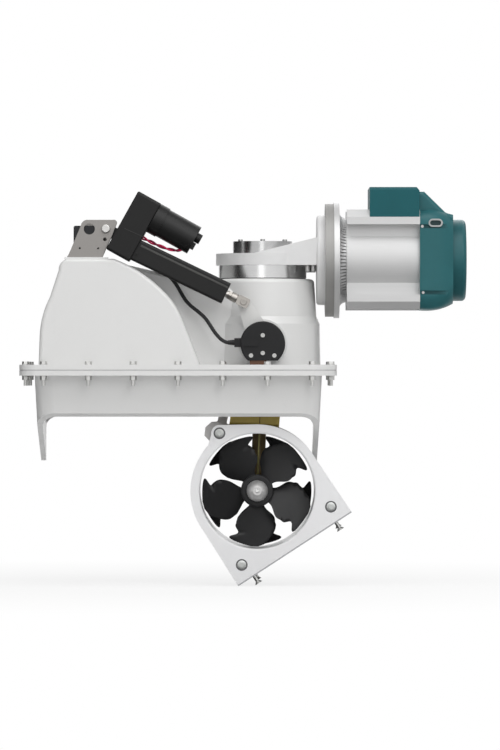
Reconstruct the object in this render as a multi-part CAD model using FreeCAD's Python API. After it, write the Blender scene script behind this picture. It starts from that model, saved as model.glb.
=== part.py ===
import math
import os

import FreeCAD
import Part
from FreeCAD import Vector

# Retractable tunnel thruster. X runs along the vessel to the motor, Y athwart, Z up.
# The origin is the centre of the underside of the lower flange.

# Flanges and lower housing
flange_half_x = 343.0
flange_half_y = 203.0
flange_corner = 34.0
flange_thick = 11.0
gasket_thick = 1.5
skirt_half_x = flange_half_x - 31.5
skirt_half_y = flange_half_y - 35.0
skirt_corner = 40.0
skirt_wall = 11.0
corner_share = 0.6
trim_reach = 10.0
skirt_draft = 0.052
skirt_front_depth = 79.0
hull_rise = 0.634
skirt_keel_depth = 183.0
bolt_pitch = 96.6
bolt_radius = 4.0
bolt_line_y = flange_half_y - 12.0
bolt_line_x = flange_half_x - 12.0
bolt_end_pitch = 130.0
nut_across = 13.0
nut_height = 8.0
bolt_tail = 14.0

# Upper housing
shell_wall = 8.0
hump_half_y = skirt_half_y + 4.0
hump_top = 252.5
hump_left = -302.0
hump_round = 8.0
neck_half_y = 95.0
tower_height = 211.0
neck_top_left = tower_height + 30.0
neck_slope = 0.235
tower_x = 183.0
boss_front = skirt_half_y - 38.5
tower_base_radius = boss_front - 2.5
tower_step_radius = tower_base_radius - 9.0
tower_top_radius = tower_base_radius - 14.0
tower_step_height = 125.0
tower_round = 9.0
boss_radius = 53.0
pedestal_half = 34.0
pad_left = -246.0
pad_right = -152.0
pad_thick = 3.5

# Swing pivot, leg and linkage
pivot_height = 69.0
leg_length = 320.0
leg_lean = 2.14
swing_angle = 85.0
tunnel_rest_tilt = 33.1
trunnion_radius = 20.0
running_gap = 0.05
face_gap = 0.5
bearing_radius = 30.0
arm_inner = 57.0
arm_outer = 80.0
yoke_round = 32.0
yoke_left = 52.0
yoke_right = 48.0
yoke_foot_left = 66.5
yoke_cross_depth = 78.0
leg_tube_radius = 15.0
lever_thick = 7.0
lever_radius = 99.5
ram_eye_half = 11.5
lever_rest_angle = 24.7
lever_hub_radius = 30.0
link_half_spread = 40.0
link_width = 20.0
link_thick = 10.0
link_anchor_height = 160.0
link_pin_radius = 7.0
link_pin_end = 92.0
link_eye_radius = 14.0
link_relief_radius = 5.0
cam_end = 84.0
cam_points = [(-30.8, 12.4), (-32.7, -5.2), (-21.5, -17.3), (2.0, -13.0), (13.0, 4.0), (15.0, 15.0),
              (-2.0, 24.0), (-18.6, 22.8)]

# Tunnel
tunnel_bore = 250.0
tunnel_wall = 5.0
tunnel_half_y = 120.0
plate_thick = 12.0
ring_radius = 145.0
base_distance = 147.5
base_half = 147.0
ear_distance = 150.0
ear_radius = 18.0
tie_radius = 9.5
leg_slot_half_y = 26.0
base_strip_thick = 3.0
hatch_screw_radius = 4.0
hatch_pitch = 106.0
hatch_screw_drop = 17.0
hatch_head_radius = 9.0

# Propellers
blade_count = 5
blade_tip_radius = 121.0
hub_radius = 34.6
hub_half = 17.0
prop_plane = 64.0
blade_thick = 4.0
blade_pitch_angle = 27.0
cone_radius = 22.8
cone_length = 30.0
gearcase_radius = 29.0
gearcase_half = 42.0
prop_shaft_radius = 9.0

# Drive train
drive_shaft_radius = 12.0
ring_radius_top = 96.0
collar_radius = 72.0
elbow_ring_radius = 102.0
ring_bottom = tower_height + 2.0
ring_top = ring_bottom + 28.0
elbow_top = ring_top + 25.5
motor_axis_height = ring_top + 11.4
arm_top = motor_axis_height + 49.1
cap_radius = 65.0
cap_top = elbow_top + 27.0
elbow_flange_start = 300.7
elbow_flange_end = 319.6
elbow_flange_radius = 98.0
adapter_end = 338.6
adapter_radius = 123.6
motor_flange_end = 350.5
motor_flange_radius = 126.6
body_start = 366.2
body_end = 524.6
end_cap_end = 597.4
rear_cover_end = 627.0

# Housings
upper_floor = flange_thick + gasket_thick
upper_deck = upper_floor + flange_thick
anchor_boss_radius = 14.0
anchor_boss_depth = 24.0
anchor_boss_proud = 9.0
washer_radius = 8.0
washer_thick = 1.6
bolt_head_height = 5.5
clearance = 0.05

# Drive head on the tower
web_top = ring_bottom + 12.0
drive_bearing_radius = 26.0
gear_cavity = 50.0
gear_pitch = 36.0
pinion_pitch = 24.0
motor_shaft_radius = 9.0
motor_bearing_radius = 20.0
arm_half = 88.0
elbow_screw_y = 60.0

# Motor
motor_teeth = 16
drive_teeth = 24
tooth_share = 0.56
fin_count = 80
fin_gap = 2.2
fin_root = 74.0
fin_tip = 120.0
fin_rim = 1.5
motor_clear_radius = 60.0
hood_low = 70.0
hood_rise = 78.0
hood_drop = 32.0
hood_tail = 28.0
hood_edge = 8.0
rear_cover_radius = 89.0
rear_cover_edge = 9.0
grommet_wall = 3.4
scoop_screw_radius = 3.0
scoop_screw_in = 7.0
box_low = 90.0
box_high = 157.4
box_start = 415.5
box_edge = 7.0
lobe_half = 108.7
lobe_chamfer = 17.0
groove_low = 67.6
groove_high = 76.2
scoop_floor = 101.0
entry_offset = 34.0
entry_height = 79.4
entry_half = 15.5
entry_radius = 8.8
entry_front = -107.5
entry_back = -97.0
box_half_y = 108.0
hood_half_y = 84.0

# Swinging leg
yoke_end_depth = 183.0
leg_shaft_radius = 8.0
leg_bearing_radius = 19.0
gear_room = 24.0
prop_bearing_radius = 17.0
lower_gear_pitch = 18.0
lower_pinion_pitch = 13.5
lower_gear_teeth = 16
lower_pinion_teeth = 12
lever_plane = -(boss_front + face_gap + lever_thick / 2)
ram_plane = lever_plane - lever_thick / 2 - face_gap - ram_eye_half

# Swing coupling
ball_radius = 28.0
vane_radius = 38.0
vane_half = 8.0
cup_inner = 30.0
cup_outer = 46.0
cup_angle = 38.0
shaft_end = 92.0

# Propellers
blade_sections = [
    (26.0, -13.0, 13.0), (38.0, -19.0, 19.0), (52.0, -35.0, 33.0), (63.0, -41.0, 39.5),
    (72.0, -43.0, 42.5), (82.0, -41.0, 41.5), (90.0, -37.5, 38.0), (95.0, -45.0, 34.5),
    (101.0, -56.0, 30.5), (108.0, -46.0, 25.5), (114.0, -29.0, 19.0), (119.0, -9.0, 7.0)]

# Tunnel
tie_points = [(0.0, ear_distance), (115.5, -115.6), (-115.5, -115.6)]
tie_head_radius = 10.0
slot_low = -13.0
slot_high = 13.0

# Actuator
housing_start = 22.0
housing_end = 79.0
housing_low = -38.0
housing_high = 105.5
housing_half_y = 29.0
tube_end = 295.0
tube_half = 24.0
motor_can_w = 71.2
motor_can_radius = 32.5
motor_can_end = 179.0
ram_offset = 12.9
motor_lean = 3.4
rod_radius = 8.0
rod_bore = 8.05
lead_radius = 1.6
rod_nut_radius = 15.0
ram_eye_radius = 14.0
ram_socket_radius = 10.5
ram_nut_across = 19.0
ram_neck_half = 9.0
ram_screw_radius = 8.0
ram_screw_head = 4.0
bracket_pin_radius = 6.0
bracket_near = -(hump_half_y - hump_round)
bracket_sheet = 3.0
bracket_left = -239.6
bracket_right = -164.1
bracket_holes = [(-191.9, 316.9, 12.0), (-158.3, 294.6, 4.0), (-212.5, 275.3, 2.2), (-172.8, 275.0, 2.2)]
bracket_screw_x = (-228.0, -178.0)
bracket_screw_in = 11.0
bracket_screw_radius = 6.0
bracket_pin_head = 9.3
bracket_spacer_radius = 9.5
bracket_far = bracket_near + 38.0
bracket_floor = hump_top + pad_thick
control_box_left = -226.0
control_box_right = -178.0
control_box_top = 324.0
control_box_gap = 0.4

# Swing sensor in front of the lever
disc_radius = 48.6
sensor_back = lever_plane - lever_thick / 2 - face_gap
sensor_front = sensor_back - 20.0
sensor_flat = 32.7
snout_left = 61.6
snout_right = 38.0
snout_low = 7.4
snout_high = 12.0
rib_left = 46.0
rib_right = 10.0
rib_low = 5.5
rib_high = 10.5
rib_proud = 2.5
sensor_screw_radius = 3.0
sensor_head_radius = 4.6
sensor_screw_points = [(0.0, 18.2), (0.0, -20.2), (-25.4, -25.6), (25.1, -25.6)]
sensor_cable_y = sensor_front + 9.0
sensor_cable_z = pivot_height + 2.6

# Sensor cable
cable_radius = 3.5
gland_radius = 6.5
cable_route = [
    (tower_x - snout_left, sensor_cable_y, sensor_cable_z), (103.5, sensor_cable_y, 72.2),
    (86.0, -146.0, 86.0),
    (72.0, -141.0, 104.0), (56.0, -134.0, 126.0), (37.0, -125.0, 146.0), (18.0, -116.0, 163.0),
    (3.0, -108.0, 186.0), (-14.0, -99.0, 211.0), (-42.0, -95.0, 233.0), (-80.0, -85.0, 252.0),
    (-120.0, -66.0, 268.0), (-160.0, -56.0, 284.0), (-190.0, -62.0, 294.0), (-205.0, -84.0, 297.0),
    (-205.0, -114.0, 297.0)]

pivot = Vector(tower_x, 0, pivot_height)
lean = math.radians(leg_lean)
leg_down = Vector(-math.sin(lean), 0, -math.cos(lean))
tunnel_centre = pivot + leg_down * leg_length
lever_eye = pivot + Vector(-math.sin(math.radians(lever_rest_angle)), 0,
                           math.cos(math.radians(lever_rest_angle))) * lever_radius
rear_pin = Vector(-156.3, 0, 317.4)
eye_distance = (lever_eye - rear_pin).Length
actuator_length = math.sqrt(eye_distance ** 2 - ram_offset ** 2)
actuator_angle = (math.degrees(math.atan2(rear_pin.z - lever_eye.z, lever_eye.x - rear_pin.x))
                  - math.degrees(math.asin(ram_offset / eye_distance)))


def box(low, high):
    return Part.makeBox(high[0] - low[0], high[1] - low[1], high[2] - low[2], Vector(*low))


def rod(start, end, radius):
    """A cylinder between two points."""
    start, end = Vector(*start), Vector(*end)
    return Part.makeCylinder(radius, (end - start).Length, start, end - start)


def tube(start, end, outer, inner):
    """A hollow cylinder between two points."""
    return rod(start, end, outer).cut(rod(start, end, inner))


def cone(start, end, radius_start, radius_end):
    start, end = Vector(*start), Vector(*end)
    return Part.makeCone(radius_start, radius_end, (end - start).Length, start, end - start)


def hexagon(start, end, across):
    """A hexagonal prism between two points, across its flats."""
    start, end = Vector(*start), Vector(*end)
    radius = across / math.sqrt(3)
    points = []
    for corner in range(7):
        turn = math.radians(60 * corner)
        points.append(Vector(radius * math.cos(turn), radius * math.sin(turn), 0))
    prism = Part.Face(Part.makePolygon(points)).extrude(Vector(0, 0, (end - start).Length))
    prism.Placement = FreeCAD.Placement(start, FreeCAD.Rotation(Vector(0, 0, 1), end - start))
    return prism


def outline_xz(start, steps, y=0.0):
    """A closed wire in an XZ plane. A step is an end point, or a middle and an end point of an arc."""
    edges = []
    here = Vector(start[0], y, start[1])
    first = here
    for step in steps:
        end = Vector(step[-2], y, step[-1])
        if len(step) == 4:
            middle = Vector(step[0], y, step[1])
            edges.append(Part.Arc(here, middle, end).toShape())
        else:
            edges.append(Part.makeLine(here, end))
        here = end
    if here.sub(first).Length > 1e-6:
        edges.append(Part.makeLine(here, first))
    return Part.Wire(edges)


def slab_xz(wire, low_y, high_y):
    """A wire in the plane y = 0, made a plate from low_y to high_y."""
    face = Part.Face(wire)
    face.translate(Vector(0, low_y, 0))
    return face.extrude(Vector(0, high_y - low_y, 0))


def rounded_plate(half_x, half_y, corner, low, high):
    plate = box((-half_x, -half_y, low), (half_x, half_y, high))
    return plate.makeFillet(corner, [e for e in plate.Edges if is_along(e, Vector(0, 0, 1))])


def is_along(edge, direction):
    if not isinstance(edge.Curve, Part.Line):
        return False
    return abs(edge.tangentAt(edge.FirstParameter).dot(direction)) > 0.999


def joined(shapes):
    whole = shapes[0]
    for shape in shapes[1:]:
        whole = whole.fuse(shape)
    return whole.removeSplitter()


def less(shape, cutters):
    for cutter in cutters:
        shape = shape.cut(cutter)
    return shape


def turned(shape, degrees, centre=pivot, axis=Vector(0, 1, 0)):
    copy = shape.copy()
    copy.rotate(centre, axis, degrees)
    return copy


def polar(centre, radius, degrees, y=0.0):
    """A point at a radius and an angle from straight up, clockwise seen from the front."""
    angle = math.radians(degrees)
    return Vector(centre.x + radius * math.sin(angle), y, centre.z + radius * math.cos(angle))


def save(name, shape):
    os.makedirs("parts", exist_ok=True)
    solids = shape.Solids
    kept = solids[0] if len(solids) == 1 else Part.makeCompound(solids)
    kept.exportStep("parts/" + name + ".step")
    print(name, len(solids), round(sum(s.Volume for s in solids) / 1000.0, 1))


# Housings

def flange_points():
    """Where the flange bolts stand: two long rows and two end columns."""
    points = []
    for step in range(-3, 4):
        for side in (-1, 1):
            points.append((step * bolt_pitch, side * bolt_line_y))
    for end in (-1, 1):
        for step in (-1, 0, 1):
            points.append((end * bolt_line_x, step * bolt_end_pitch))
    return points


def bolt_holes(low, high):
    clearance = bolt_radius + 0.5
    return [rod((x, y, low), (x, y, high), clearance) for x, y in flange_points()]


def skirt(wall, low):
    """A tapered block with rounded upright corners; wall moves its sides inwards."""
    sizes = []
    for height in (low, flange_thick):
        grow = height * skirt_draft - wall
        sizes.append((skirt_half_x + grow, skirt_half_y + grow))
    (low_x, low_y), (top_x, top_y) = sizes
    block = Part.makeWedge(-low_x, low, -low_y, -top_y, -top_x, low_x, flange_thick, low_y, top_y, top_x)
    block.rotate(Vector(0, 0, 0), Vector(1, 0, 0), 90)
    uprights = [e for e in block.Edges if e.BoundBox.ZLength > 1]
    return block.makeFillet(skirt_corner - wall * corner_share, uprights)


def hull_cut():
    """What lies below the bottom of the skirt: the V of the hull."""
    reach = flange_half_y + 60
    low = -skirt_keel_depth - 60
    keel = -skirt_front_depth - skirt_half_y * hull_rise
    edge = keel + reach * hull_rise
    points = [Vector(0, -reach, low), Vector(0, reach, low), Vector(0, reach, edge),
              Vector(0, 0, keel), Vector(0, -reach, edge), Vector(0, -reach, low)]
    prism = Part.Face(Part.makePolygon(points)).extrude(Vector(2 * flange_half_x + 40, 0, 0))
    prism.translate(Vector(-flange_half_x - 20, 0, 0))
    return prism


def lower_housing():
    low = -skirt_keel_depth - trim_reach
    outer = skirt(0.0, low)
    inner = skirt(skirt_wall, low)
    flange = rounded_plate(flange_half_x, flange_half_y, flange_corner, 0.0, flange_thick)
    shell = flange.fuse(outer).cut(inner).cut(hull_cut())
    return less(shell, bolt_holes(-1, flange_thick + 1))


def opening(low, high, grow=0.0):
    """The opening of the flanges: the inner outline of the skirt at its top."""
    inset = skirt_wall - flange_thick * skirt_draft - grow
    return rounded_plate(skirt_half_x - inset, skirt_half_y - inset,
                         skirt_corner - skirt_wall * corner_share,
                         low, high)


def flange_gasket():
    gasket = rounded_plate(flange_half_x - 1, flange_half_y - 1, flange_corner, flange_thick, upper_floor)
    return less(gasket.cut(opening(flange_thick - 1, upper_floor + 1, 0.5)),
                bolt_holes(flange_thick - 1, upper_floor + 1))


def hump_profile(inset):
    """Front outline of the hump, drawn close about the retracted tunnel; inset moves it inwards."""
    left = hump_left + inset
    top = hump_top - inset
    low = upper_floor - 2
    steps = [(left + 3, 90.0), (left + 9.5, 130.0, left + 25, 170.0),
             (left + 44, 228.0), (left + 51, 246.0 - inset * 0.4, left + 66, top),
             (-139.0 - inset * 0.3, top), (-76.0 - inset * 0.6, 220.0 - inset * 0.8,
                                           -22.0 - inset * 0.7, 173.0 - inset * 0.7),
             (-2.0 - inset * 0.9, 146.0 - inset * 0.4, 10.5 - inset, 119.0), (46.0 - inset, 28.0),
             (47.0 - inset, low)]
    return outline_xz((left, low), steps)


def hump_solid(inset):
    half = hump_half_y - inset
    block = slab_xz(hump_profile(inset), -half, half)
    if inset:
        return block
    rims = [e for e in block.Edges if abs(abs(e.CenterOfMass.y) - half) < 1e-6 and e.CenterOfMass.z > 30]
    return block.makeFillet(hump_round, rims)


def neck_solid(inset):
    top = neck_top_left - inset
    drop = (tower_x + 110) * neck_slope
    wire = outline_xz((-110.0, upper_floor - 2), [(-110.0, top), (tower_x, top - drop),
                                                  (tower_x, upper_floor - 2)])
    block = slab_xz(wire, -neck_half_y + inset, neck_half_y - inset)
    if inset:
        return block
    tops = [e for e in block.Edges if e.CenterOfMass.z > 150 and abs(e.CenterOfMass.y) > 1
            and not is_along(e, Vector(0, 0, 1))]
    return block.makeFillet(hump_round, tops)


def tower_solid(inset):
    low = upper_floor - 2
    top = tower_height - inset
    r0, r1, r2 = tower_base_radius - inset, tower_step_radius - inset, tower_top_radius - inset
    corner = tower_round
    slant = corner * (1 - math.sqrt(0.5))
    points = outline_xz((tower_x, low), [
        (tower_x + r0, low), (tower_x + r0 - 2, tower_step_height - 12),
        (tower_x + r1, tower_step_height + 4), (tower_x + r2, top - corner),
        (tower_x + r2 - slant, top - slant, tower_x + r2 - corner, top), (tower_x, top)])
    return Part.Face(points).revolve(Vector(tower_x, 0, 0), Vector(0, 0, 1), 360)


def upper_housing():
    flange = rounded_plate(flange_half_x, flange_half_y, flange_corner, upper_floor, upper_deck)
    shell = joined([flange, hump_solid(0), neck_solid(0), tower_solid(0)])
    for side in (-1, 1):
        boss = rod((tower_x, 0, pivot_height), (tower_x, side * boss_front, pivot_height), boss_radius)
        stand = box((tower_x - pedestal_half, min(0, side * boss_front), upper_floor),
                    (tower_x + pedestal_half, max(0, side * boss_front), pivot_height))
        shell = shell.fuse(boss).fuse(stand)
    pad = box((pad_left, -hump_half_y + hump_round, hump_top - 1),
              (pad_right, bracket_far + 10.0, hump_top + pad_thick))
    shell = shell.fuse(pad)
    hollow = joined([hump_solid(shell_wall), neck_solid(shell_wall), tower_solid(shell_wall)])
    shell = shell.cut(hollow)
    x, z = link_anchor_point.x, link_anchor_point.z
    for side in (-1, 1):
        shell = shell.fuse(rod((x, side * (link_pin_end - anchor_boss_depth), z),
                               (x, side * (link_pin_end + anchor_boss_proud), z), anchor_boss_radius))
        shell = shell.cut(rod((x, side * (link_pin_end - anchor_boss_depth - 1), z),
                              (x, side * link_pin_end, z), link_pin_radius))
    below = box((-flange_half_x - 5, -flange_half_y - 5, upper_floor - 5),
                (flange_half_x + 5, flange_half_y + 5, upper_floor))
    shell = shell.cut(below)
    cuts = [rod((tower_x, -boss_front - 1, pivot_height), (tower_x, boss_front + 1, pivot_height),
                bearing_radius)]
    cuts.append(rod((tower_x, 0, tower_height - 30), (tower_x, 0, tower_height + 5), collar_radius))
    return less(shell, cuts + bolt_holes(upper_floor - 1, upper_deck + 1)).removeSplitter()


def tower_gasket():
    return tube((tower_x, 0, tower_height), (tower_x, 0, ring_bottom), ring_radius_top - 2, collar_radius)


def flange_bolts():
    bolts = []
    for x, y in flange_points():
        washer = tube((x, y, upper_deck), (x, y, upper_deck + washer_thick), washer_radius, bolt_radius)
        head = hexagon((x, y, upper_deck + washer_thick),
                       (x, y, upper_deck + washer_thick + bolt_head_height), nut_across)
        shank = rod((x, y, -nut_height - bolt_tail), (x, y, upper_deck + 3), bolt_radius)
        bolts.append(head.fuse(shank).fuse(washer))
    return Part.makeCompound([b.Solids[0] for b in bolts])


def flange_nuts():
    nuts = []
    for x, y in flange_points():
        washer = tube((x, y, -washer_thick), (x, y, 0), washer_radius, bolt_radius + clearance)
        nut = hexagon((x, y, -washer_thick - nut_height), (x, y, -washer_thick), nut_across)
        nuts.append(nut.fuse(washer).cut(rod((x, y, -40), (x, y, 5), bolt_radius + clearance)))
    return Part.makeCompound([n.Solids[0] for n in nuts])


# Drive head on the tower

drive_axis = Vector(tower_x, 0, motor_axis_height)


def on_axis(x):
    return (x, 0, motor_axis_height)


def disc_x(start, end, radius, corner=0.0):
    """A disc about the motor's axis, its left rim rounded where a corner is given."""
    disc = rod(on_axis(start), on_axis(end), radius)
    if corner:
        rim = [e for e in disc.Edges if abs(e.CenterOfMass.x - start) < 1e-6]
        disc = disc.makeFillet(corner, rim)
    return disc


def adapter_ring():
    ring = rod((tower_x, 0, ring_bottom), (tower_x, 0, ring_top), ring_radius_top)
    spigot = rod((tower_x, 0, ring_bottom - 10), (tower_x, 0, ring_bottom), collar_radius - running_gap)
    cavity = rod((tower_x, 0, web_top), (tower_x, 0, ring_top + 1), gear_cavity)
    seat = rod((tower_x, 0, ring_bottom - 11), (tower_x, 0, web_top + 1), drive_bearing_radius)
    return ring.fuse(spigot).cut(cavity).cut(seat)


def drive_bearing():
    return tube((tower_x, 0, ring_bottom - 9), (tower_x, 0, web_top - 1), drive_bearing_radius,
                drive_shaft_radius + running_gap)


def drive_elbow():
    """Bevel gear housing: a ring plate on the adapter, an arm to the motor and its round flange."""
    plate = rod((tower_x, 0, ring_top), (tower_x, 0, elbow_top), elbow_ring_radius)
    arm = slab_xz(outline_xz((tower_x - 20, ring_top), [
        (tower_x - 20, elbow_top), (elbow_flange_start + 2, arm_top), (elbow_flange_start + 2,
                                                                       ring_top)]),
        -arm_half, arm_half)
    belly = rod(on_axis(tower_x + ring_radius_top), on_axis(elbow_flange_start + 2), 16.0)
    flange = disc_x(elbow_flange_start, elbow_flange_end, elbow_flange_radius, 7.0)
    body = joined([plate, arm, belly, flange])
    cuts = [rod((tower_x, 0, elbow_top), (tower_x, 0, 400), cap_radius + 0.4),
            rod((tower_x, 0, ring_top - 1), (tower_x, 0, elbow_top + 1), gear_cavity),
            rod(on_axis(tower_x), on_axis(elbow_flange_end + 1), motor_shaft_radius + 1.0),
            rod(on_axis(elbow_flange_end - 14), on_axis(elbow_flange_end + 1), motor_bearing_radius)]
    return less(body, cuts).removeSplitter()


def pinion_bearing():
    return tube(on_axis(elbow_flange_end - 14), on_axis(elbow_flange_end), motor_bearing_radius,
                motor_shaft_radius + running_gap)


def top_cap():
    cap = rod((tower_x, 0, elbow_top), (tower_x, 0, cap_top), cap_radius)
    return cap.cut(rod((tower_x, 0, elbow_top - 1), (tower_x, 0, cap_top - 4), gear_cavity))


def cap_screws():
    screws = []
    for step in range(6):
        spot = polar_xy(tower_x, 56.0, 60 * step + 30)
        head = rod((spot.x, spot.y, cap_top), (spot.x, spot.y, cap_top + 4), 5.0)
        socket = hexagon((spot.x, spot.y, cap_top + 1.5), (spot.x, spot.y, cap_top + 5), 4.0)
        screws.append(head.cut(socket))
    return Part.makeCompound(screws)


def polar_xy(centre_x, radius, degrees):
    angle = math.radians(degrees)
    return Vector(centre_x + radius * math.cos(angle), radius * math.sin(angle), 0)


def elbow_screws():
    """Cap screws under the arm, two on each side, beside the motor's flange."""
    screws = []
    for side in (-1, 1):
        for back in (7.2, 19.6):
            x, y = elbow_flange_start - back, side * elbow_screw_y
            head = rod((x, y, ring_top - 14), (x, y, ring_top), 6.0)
            screws.append(head.cut(hexagon((x, y, ring_top - 15), (x, y, ring_top - 9), 6.0)))
    return Part.makeCompound(screws)


def bevel_teeth(apex, direction, pitch_radius, reach, teeth, turn, share_of_pitch):
    """A bevel gear: a cone frustum with straight teeth, its apex at the crossing of the axes."""
    inner = 0.72
    add = 1.3
    ded = 2.1
    root = cone(apex + direction * reach * inner, apex + direction * reach,
                (pitch_radius - ded) * inner, pitch_radius - ded)
    side = Vector(0, 1, 0)
    other = direction.cross(side)
    pieces = [root]
    for tooth in range(teeth):
        middle = math.radians(360.0 * (tooth + turn) / teeth)
        wires = []
        for share in (inner, 1.0):
            ring = []
            for radius, width in ((pitch_radius - ded - 1.0, 1.25), (pitch_radius + add, 0.62)):
                ring.append((radius * share, math.radians(360.0 / teeth) * 0.5 * share_of_pitch * width))
            low, high = ring
            corners = [(low[0], -low[1]), (high[0], -high[1]), (high[0], high[1]), (low[0], low[1])]
            points = []
            for radius, angle in corners:
                spot = side * math.cos(middle + angle) + other * math.sin(middle + angle)
                points.append(apex + direction * reach * share + spot * radius)
            wires.append(Part.makePolygon(points + [points[0]]))
        pieces.append(Part.makeLoft(wires, True, True))
    return joined(pieces)


# Motor


def motor_rotor():
    """Rotor stack, shaft, bevel pinion and the lock nut behind it, turning as one."""
    pinion_end = tower_x + gear_pitch
    pinion = bevel_teeth(drive_axis, Vector(1, 0, 0), pinion_pitch, gear_pitch, motor_teeth, 0.5,
                         tooth_share)
    hub = cone(on_axis(pinion_end), on_axis(pinion_end + 8), pinion_pitch - 4, 13.0)
    shaft = rod(on_axis(tower_x + gear_pitch * 0.72), on_axis(end_cap_end - 12), motor_shaft_radius)
    stack = rod(on_axis(body_start + 22), on_axis(body_end - 22), 52.0)
    return joined([pinion, hub, shaft, stack])


def motor_adapter():
    ring = disc_x(elbow_flange_end, adapter_end, adapter_radius)
    return ring.cut(rod(on_axis(elbow_flange_end - 1), on_axis(adapter_end + 1), 60.0))


def motor_flange():
    """End flange with a flared neck and a comb of cooling fins."""
    flange = disc_x(adapter_end, motor_flange_end, motor_flange_radius)
    flare = Part.Face(outline_xz((motor_flange_end, motor_axis_height), [
        (motor_flange_end, motor_axis_height + 108), (motor_flange_end + 3.0, motor_axis_height + 98,
        body_start, motor_axis_height + 92), (body_start, motor_axis_height)]))
    flare = flare.revolve(Vector(*on_axis(0)), Vector(1, 0, 0), 360)
    body = joined([flange, flare])
    fins = []
    for step in range(fin_count):
        slot = box((motor_flange_end + fin_rim, -fin_gap / 2, fin_root),
                   (body_start - fin_rim, fin_gap / 2, fin_tip))
        slot.translate(Vector(*on_axis(0)))
        fins.append(turned(slot, 360.0 * step / fin_count, Vector(*on_axis(0)), Vector(1, 0, 0)))
    body = body.cut(fins)
    return less(body, [rod(on_axis(adapter_end - 1), on_axis(body_start + 1), motor_clear_radius)])


def motor_section(start, end, grow=0.0):
    """The extruded body: a barrel with four corner lobes, each parted from it by grooves."""
    barrel = rod(on_axis(start), on_axis(end), 98.0 + grow)
    half = lobe_half + grow
    inner = groove_high - grow
    lobes = []
    for sy in (-1, 1):
        for sz in (-1, 1):
            points = [(inner, inner), (half, inner), (half, half - lobe_chamfer),
                      (half - lobe_chamfer, half), (inner, half), (inner, inner)]
            wire = Part.makePolygon([Vector(start, sy * y, motor_axis_height + sz * z) for y,
                                     z in points])
            lobe = Part.Face(wire).extrude(Vector(end - start, 0, 0))
            root = box((start, min(sy * 48, sy * 84), motor_axis_height + min(sz * 48, sz * 84)),
                       (end, max(sy * 48, sy * 84), motor_axis_height + max(sz * 48, sz * 84)))
            lobes += [lobe, root]
    return joined([barrel] + lobes)


def motor_body():
    body = motor_section(body_start, body_end)
    return body.cut(rod(on_axis(body_start - 1), on_axis(body_end + 1), 78.0))


def stator_core():
    ring = rod(on_axis(body_start + 16), on_axis(body_end - 16), 77.7)
    return ring.cut(rod(on_axis(body_start + 15), on_axis(body_end - 15), 54.0))


def motor_bearings():
    front = tube(on_axis(adapter_end + 2), on_axis(adapter_end + 16), 59.95,
                 motor_shaft_radius + running_gap)
    rear = tube(on_axis(body_end + 2), on_axis(body_end + 16), 59.95, motor_shaft_radius + running_gap)
    return Part.makeCompound([front, rear])


def motor_end_cap():
    """Rear housing: a rounded square that tapers, with a sloping hood over the cable entry."""
    wires = []
    for x, half, corner in ((body_end, lobe_half, 34.0), (body_end + 50, lobe_half - 3, 36.0),
                            (end_cap_end, lobe_half - 13, 44.0)):
        plate = Part.makeBox(1, 2 * half, 2 * half, Vector(x, -half, motor_axis_height - half))
        plate = plate.makeFillet(corner, [e for e in plate.Edges if is_along(e, Vector(1, 0, 0))])
        wires.append([f for f in plate.Faces if abs(f.CenterOfMass.x - x) < 1e-6][0].OuterWire)
    body = Part.makeLoft(wires, True, False)
    low = motor_axis_height + hood_low
    hood = slab_xz(outline_xz((body_end, low), [
        (body_end, low + hood_rise), (body_end + 10, low + hood_rise), (body_end + 57, low + hood_drop),
        (end_cap_end, low + hood_tail), (end_cap_end, low)]), -hood_half_y, hood_half_y)
    tops = [e for e in hood.Edges if e.CenterOfMass.z > low + hood_tail - 1
            and abs(abs(e.CenterOfMass.y) - hood_half_y) < 1e-6 and not is_along(e, Vector(0, 0, 1))]
    hood = hood.makeFillet(hood_edge, tops)
    body = joined([body, hood])
    entry = oval(entry_radius, -2 * lobe_half, entry_back)
    scoops = []
    for side in (-1, 1):
        for end in (-1, 1):
            near, far = sorted((side * scoop_floor, side * (lobe_half + 5)))
            bottom, top = sorted((end * groove_low, end * groove_high))
            scoops.append(box((body_end - 1, near, motor_axis_height + bottom),
                              (end_cap_end + 1, far, motor_axis_height + top)))
    hollow = rod(on_axis(body_end - 1), on_axis(body_end + 18), motor_clear_radius)
    clear = rod(on_axis(body_end + 10), on_axis(end_cap_end - 8), 24.0)
    return less(body, scoops + [entry, hollow, clear]).removeSplitter()


def motor_rear_cover():
    cover = rod(on_axis(end_cap_end), on_axis(rear_cover_end), rear_cover_radius)
    rim = [e for e in cover.Edges if abs(e.CenterOfMass.x - rear_cover_end) < 1e-6]
    return cover.makeFillet(rear_cover_edge, rim)


def oval(radius, low_y, high_y):
    """An upright-sided oval about the cable entry, on the near side of the end cap."""
    x, z = body_end + entry_offset, motor_axis_height + entry_height
    half = entry_half - entry_radius
    middle = box((x - half, low_y, z - radius), (x + half, high_y, z + radius))
    ends = [rod((x + side * half, low_y, z), (x + side * half, high_y, z), radius) for side in (-1, 1)]
    return joined([middle] + ends)


def cable_grommet():
    """Oval rim of the cable entry, blind behind."""
    rim = oval(entry_radius, entry_front, entry_back)
    return rim.cut(oval(entry_radius - grommet_wall, entry_front - 1, entry_back - 2))


def scoop_screws():
    """Small screws on the floors of the end cap's scoops."""
    screws = []
    for side in (-1, 1):
        for end in (-1, 1):
            x = body_end + scoop_screw_in
            z = motor_axis_height + end * (groove_low + groove_high) / 2
            if side < 0 and end > 0:
                x -= 2.0
            y = side * scoop_floor
            screws.append(rod((x, y, z), (x, y + side * 2.0, z), scoop_screw_radius))
    return Part.makeCompound(screws)


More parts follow.
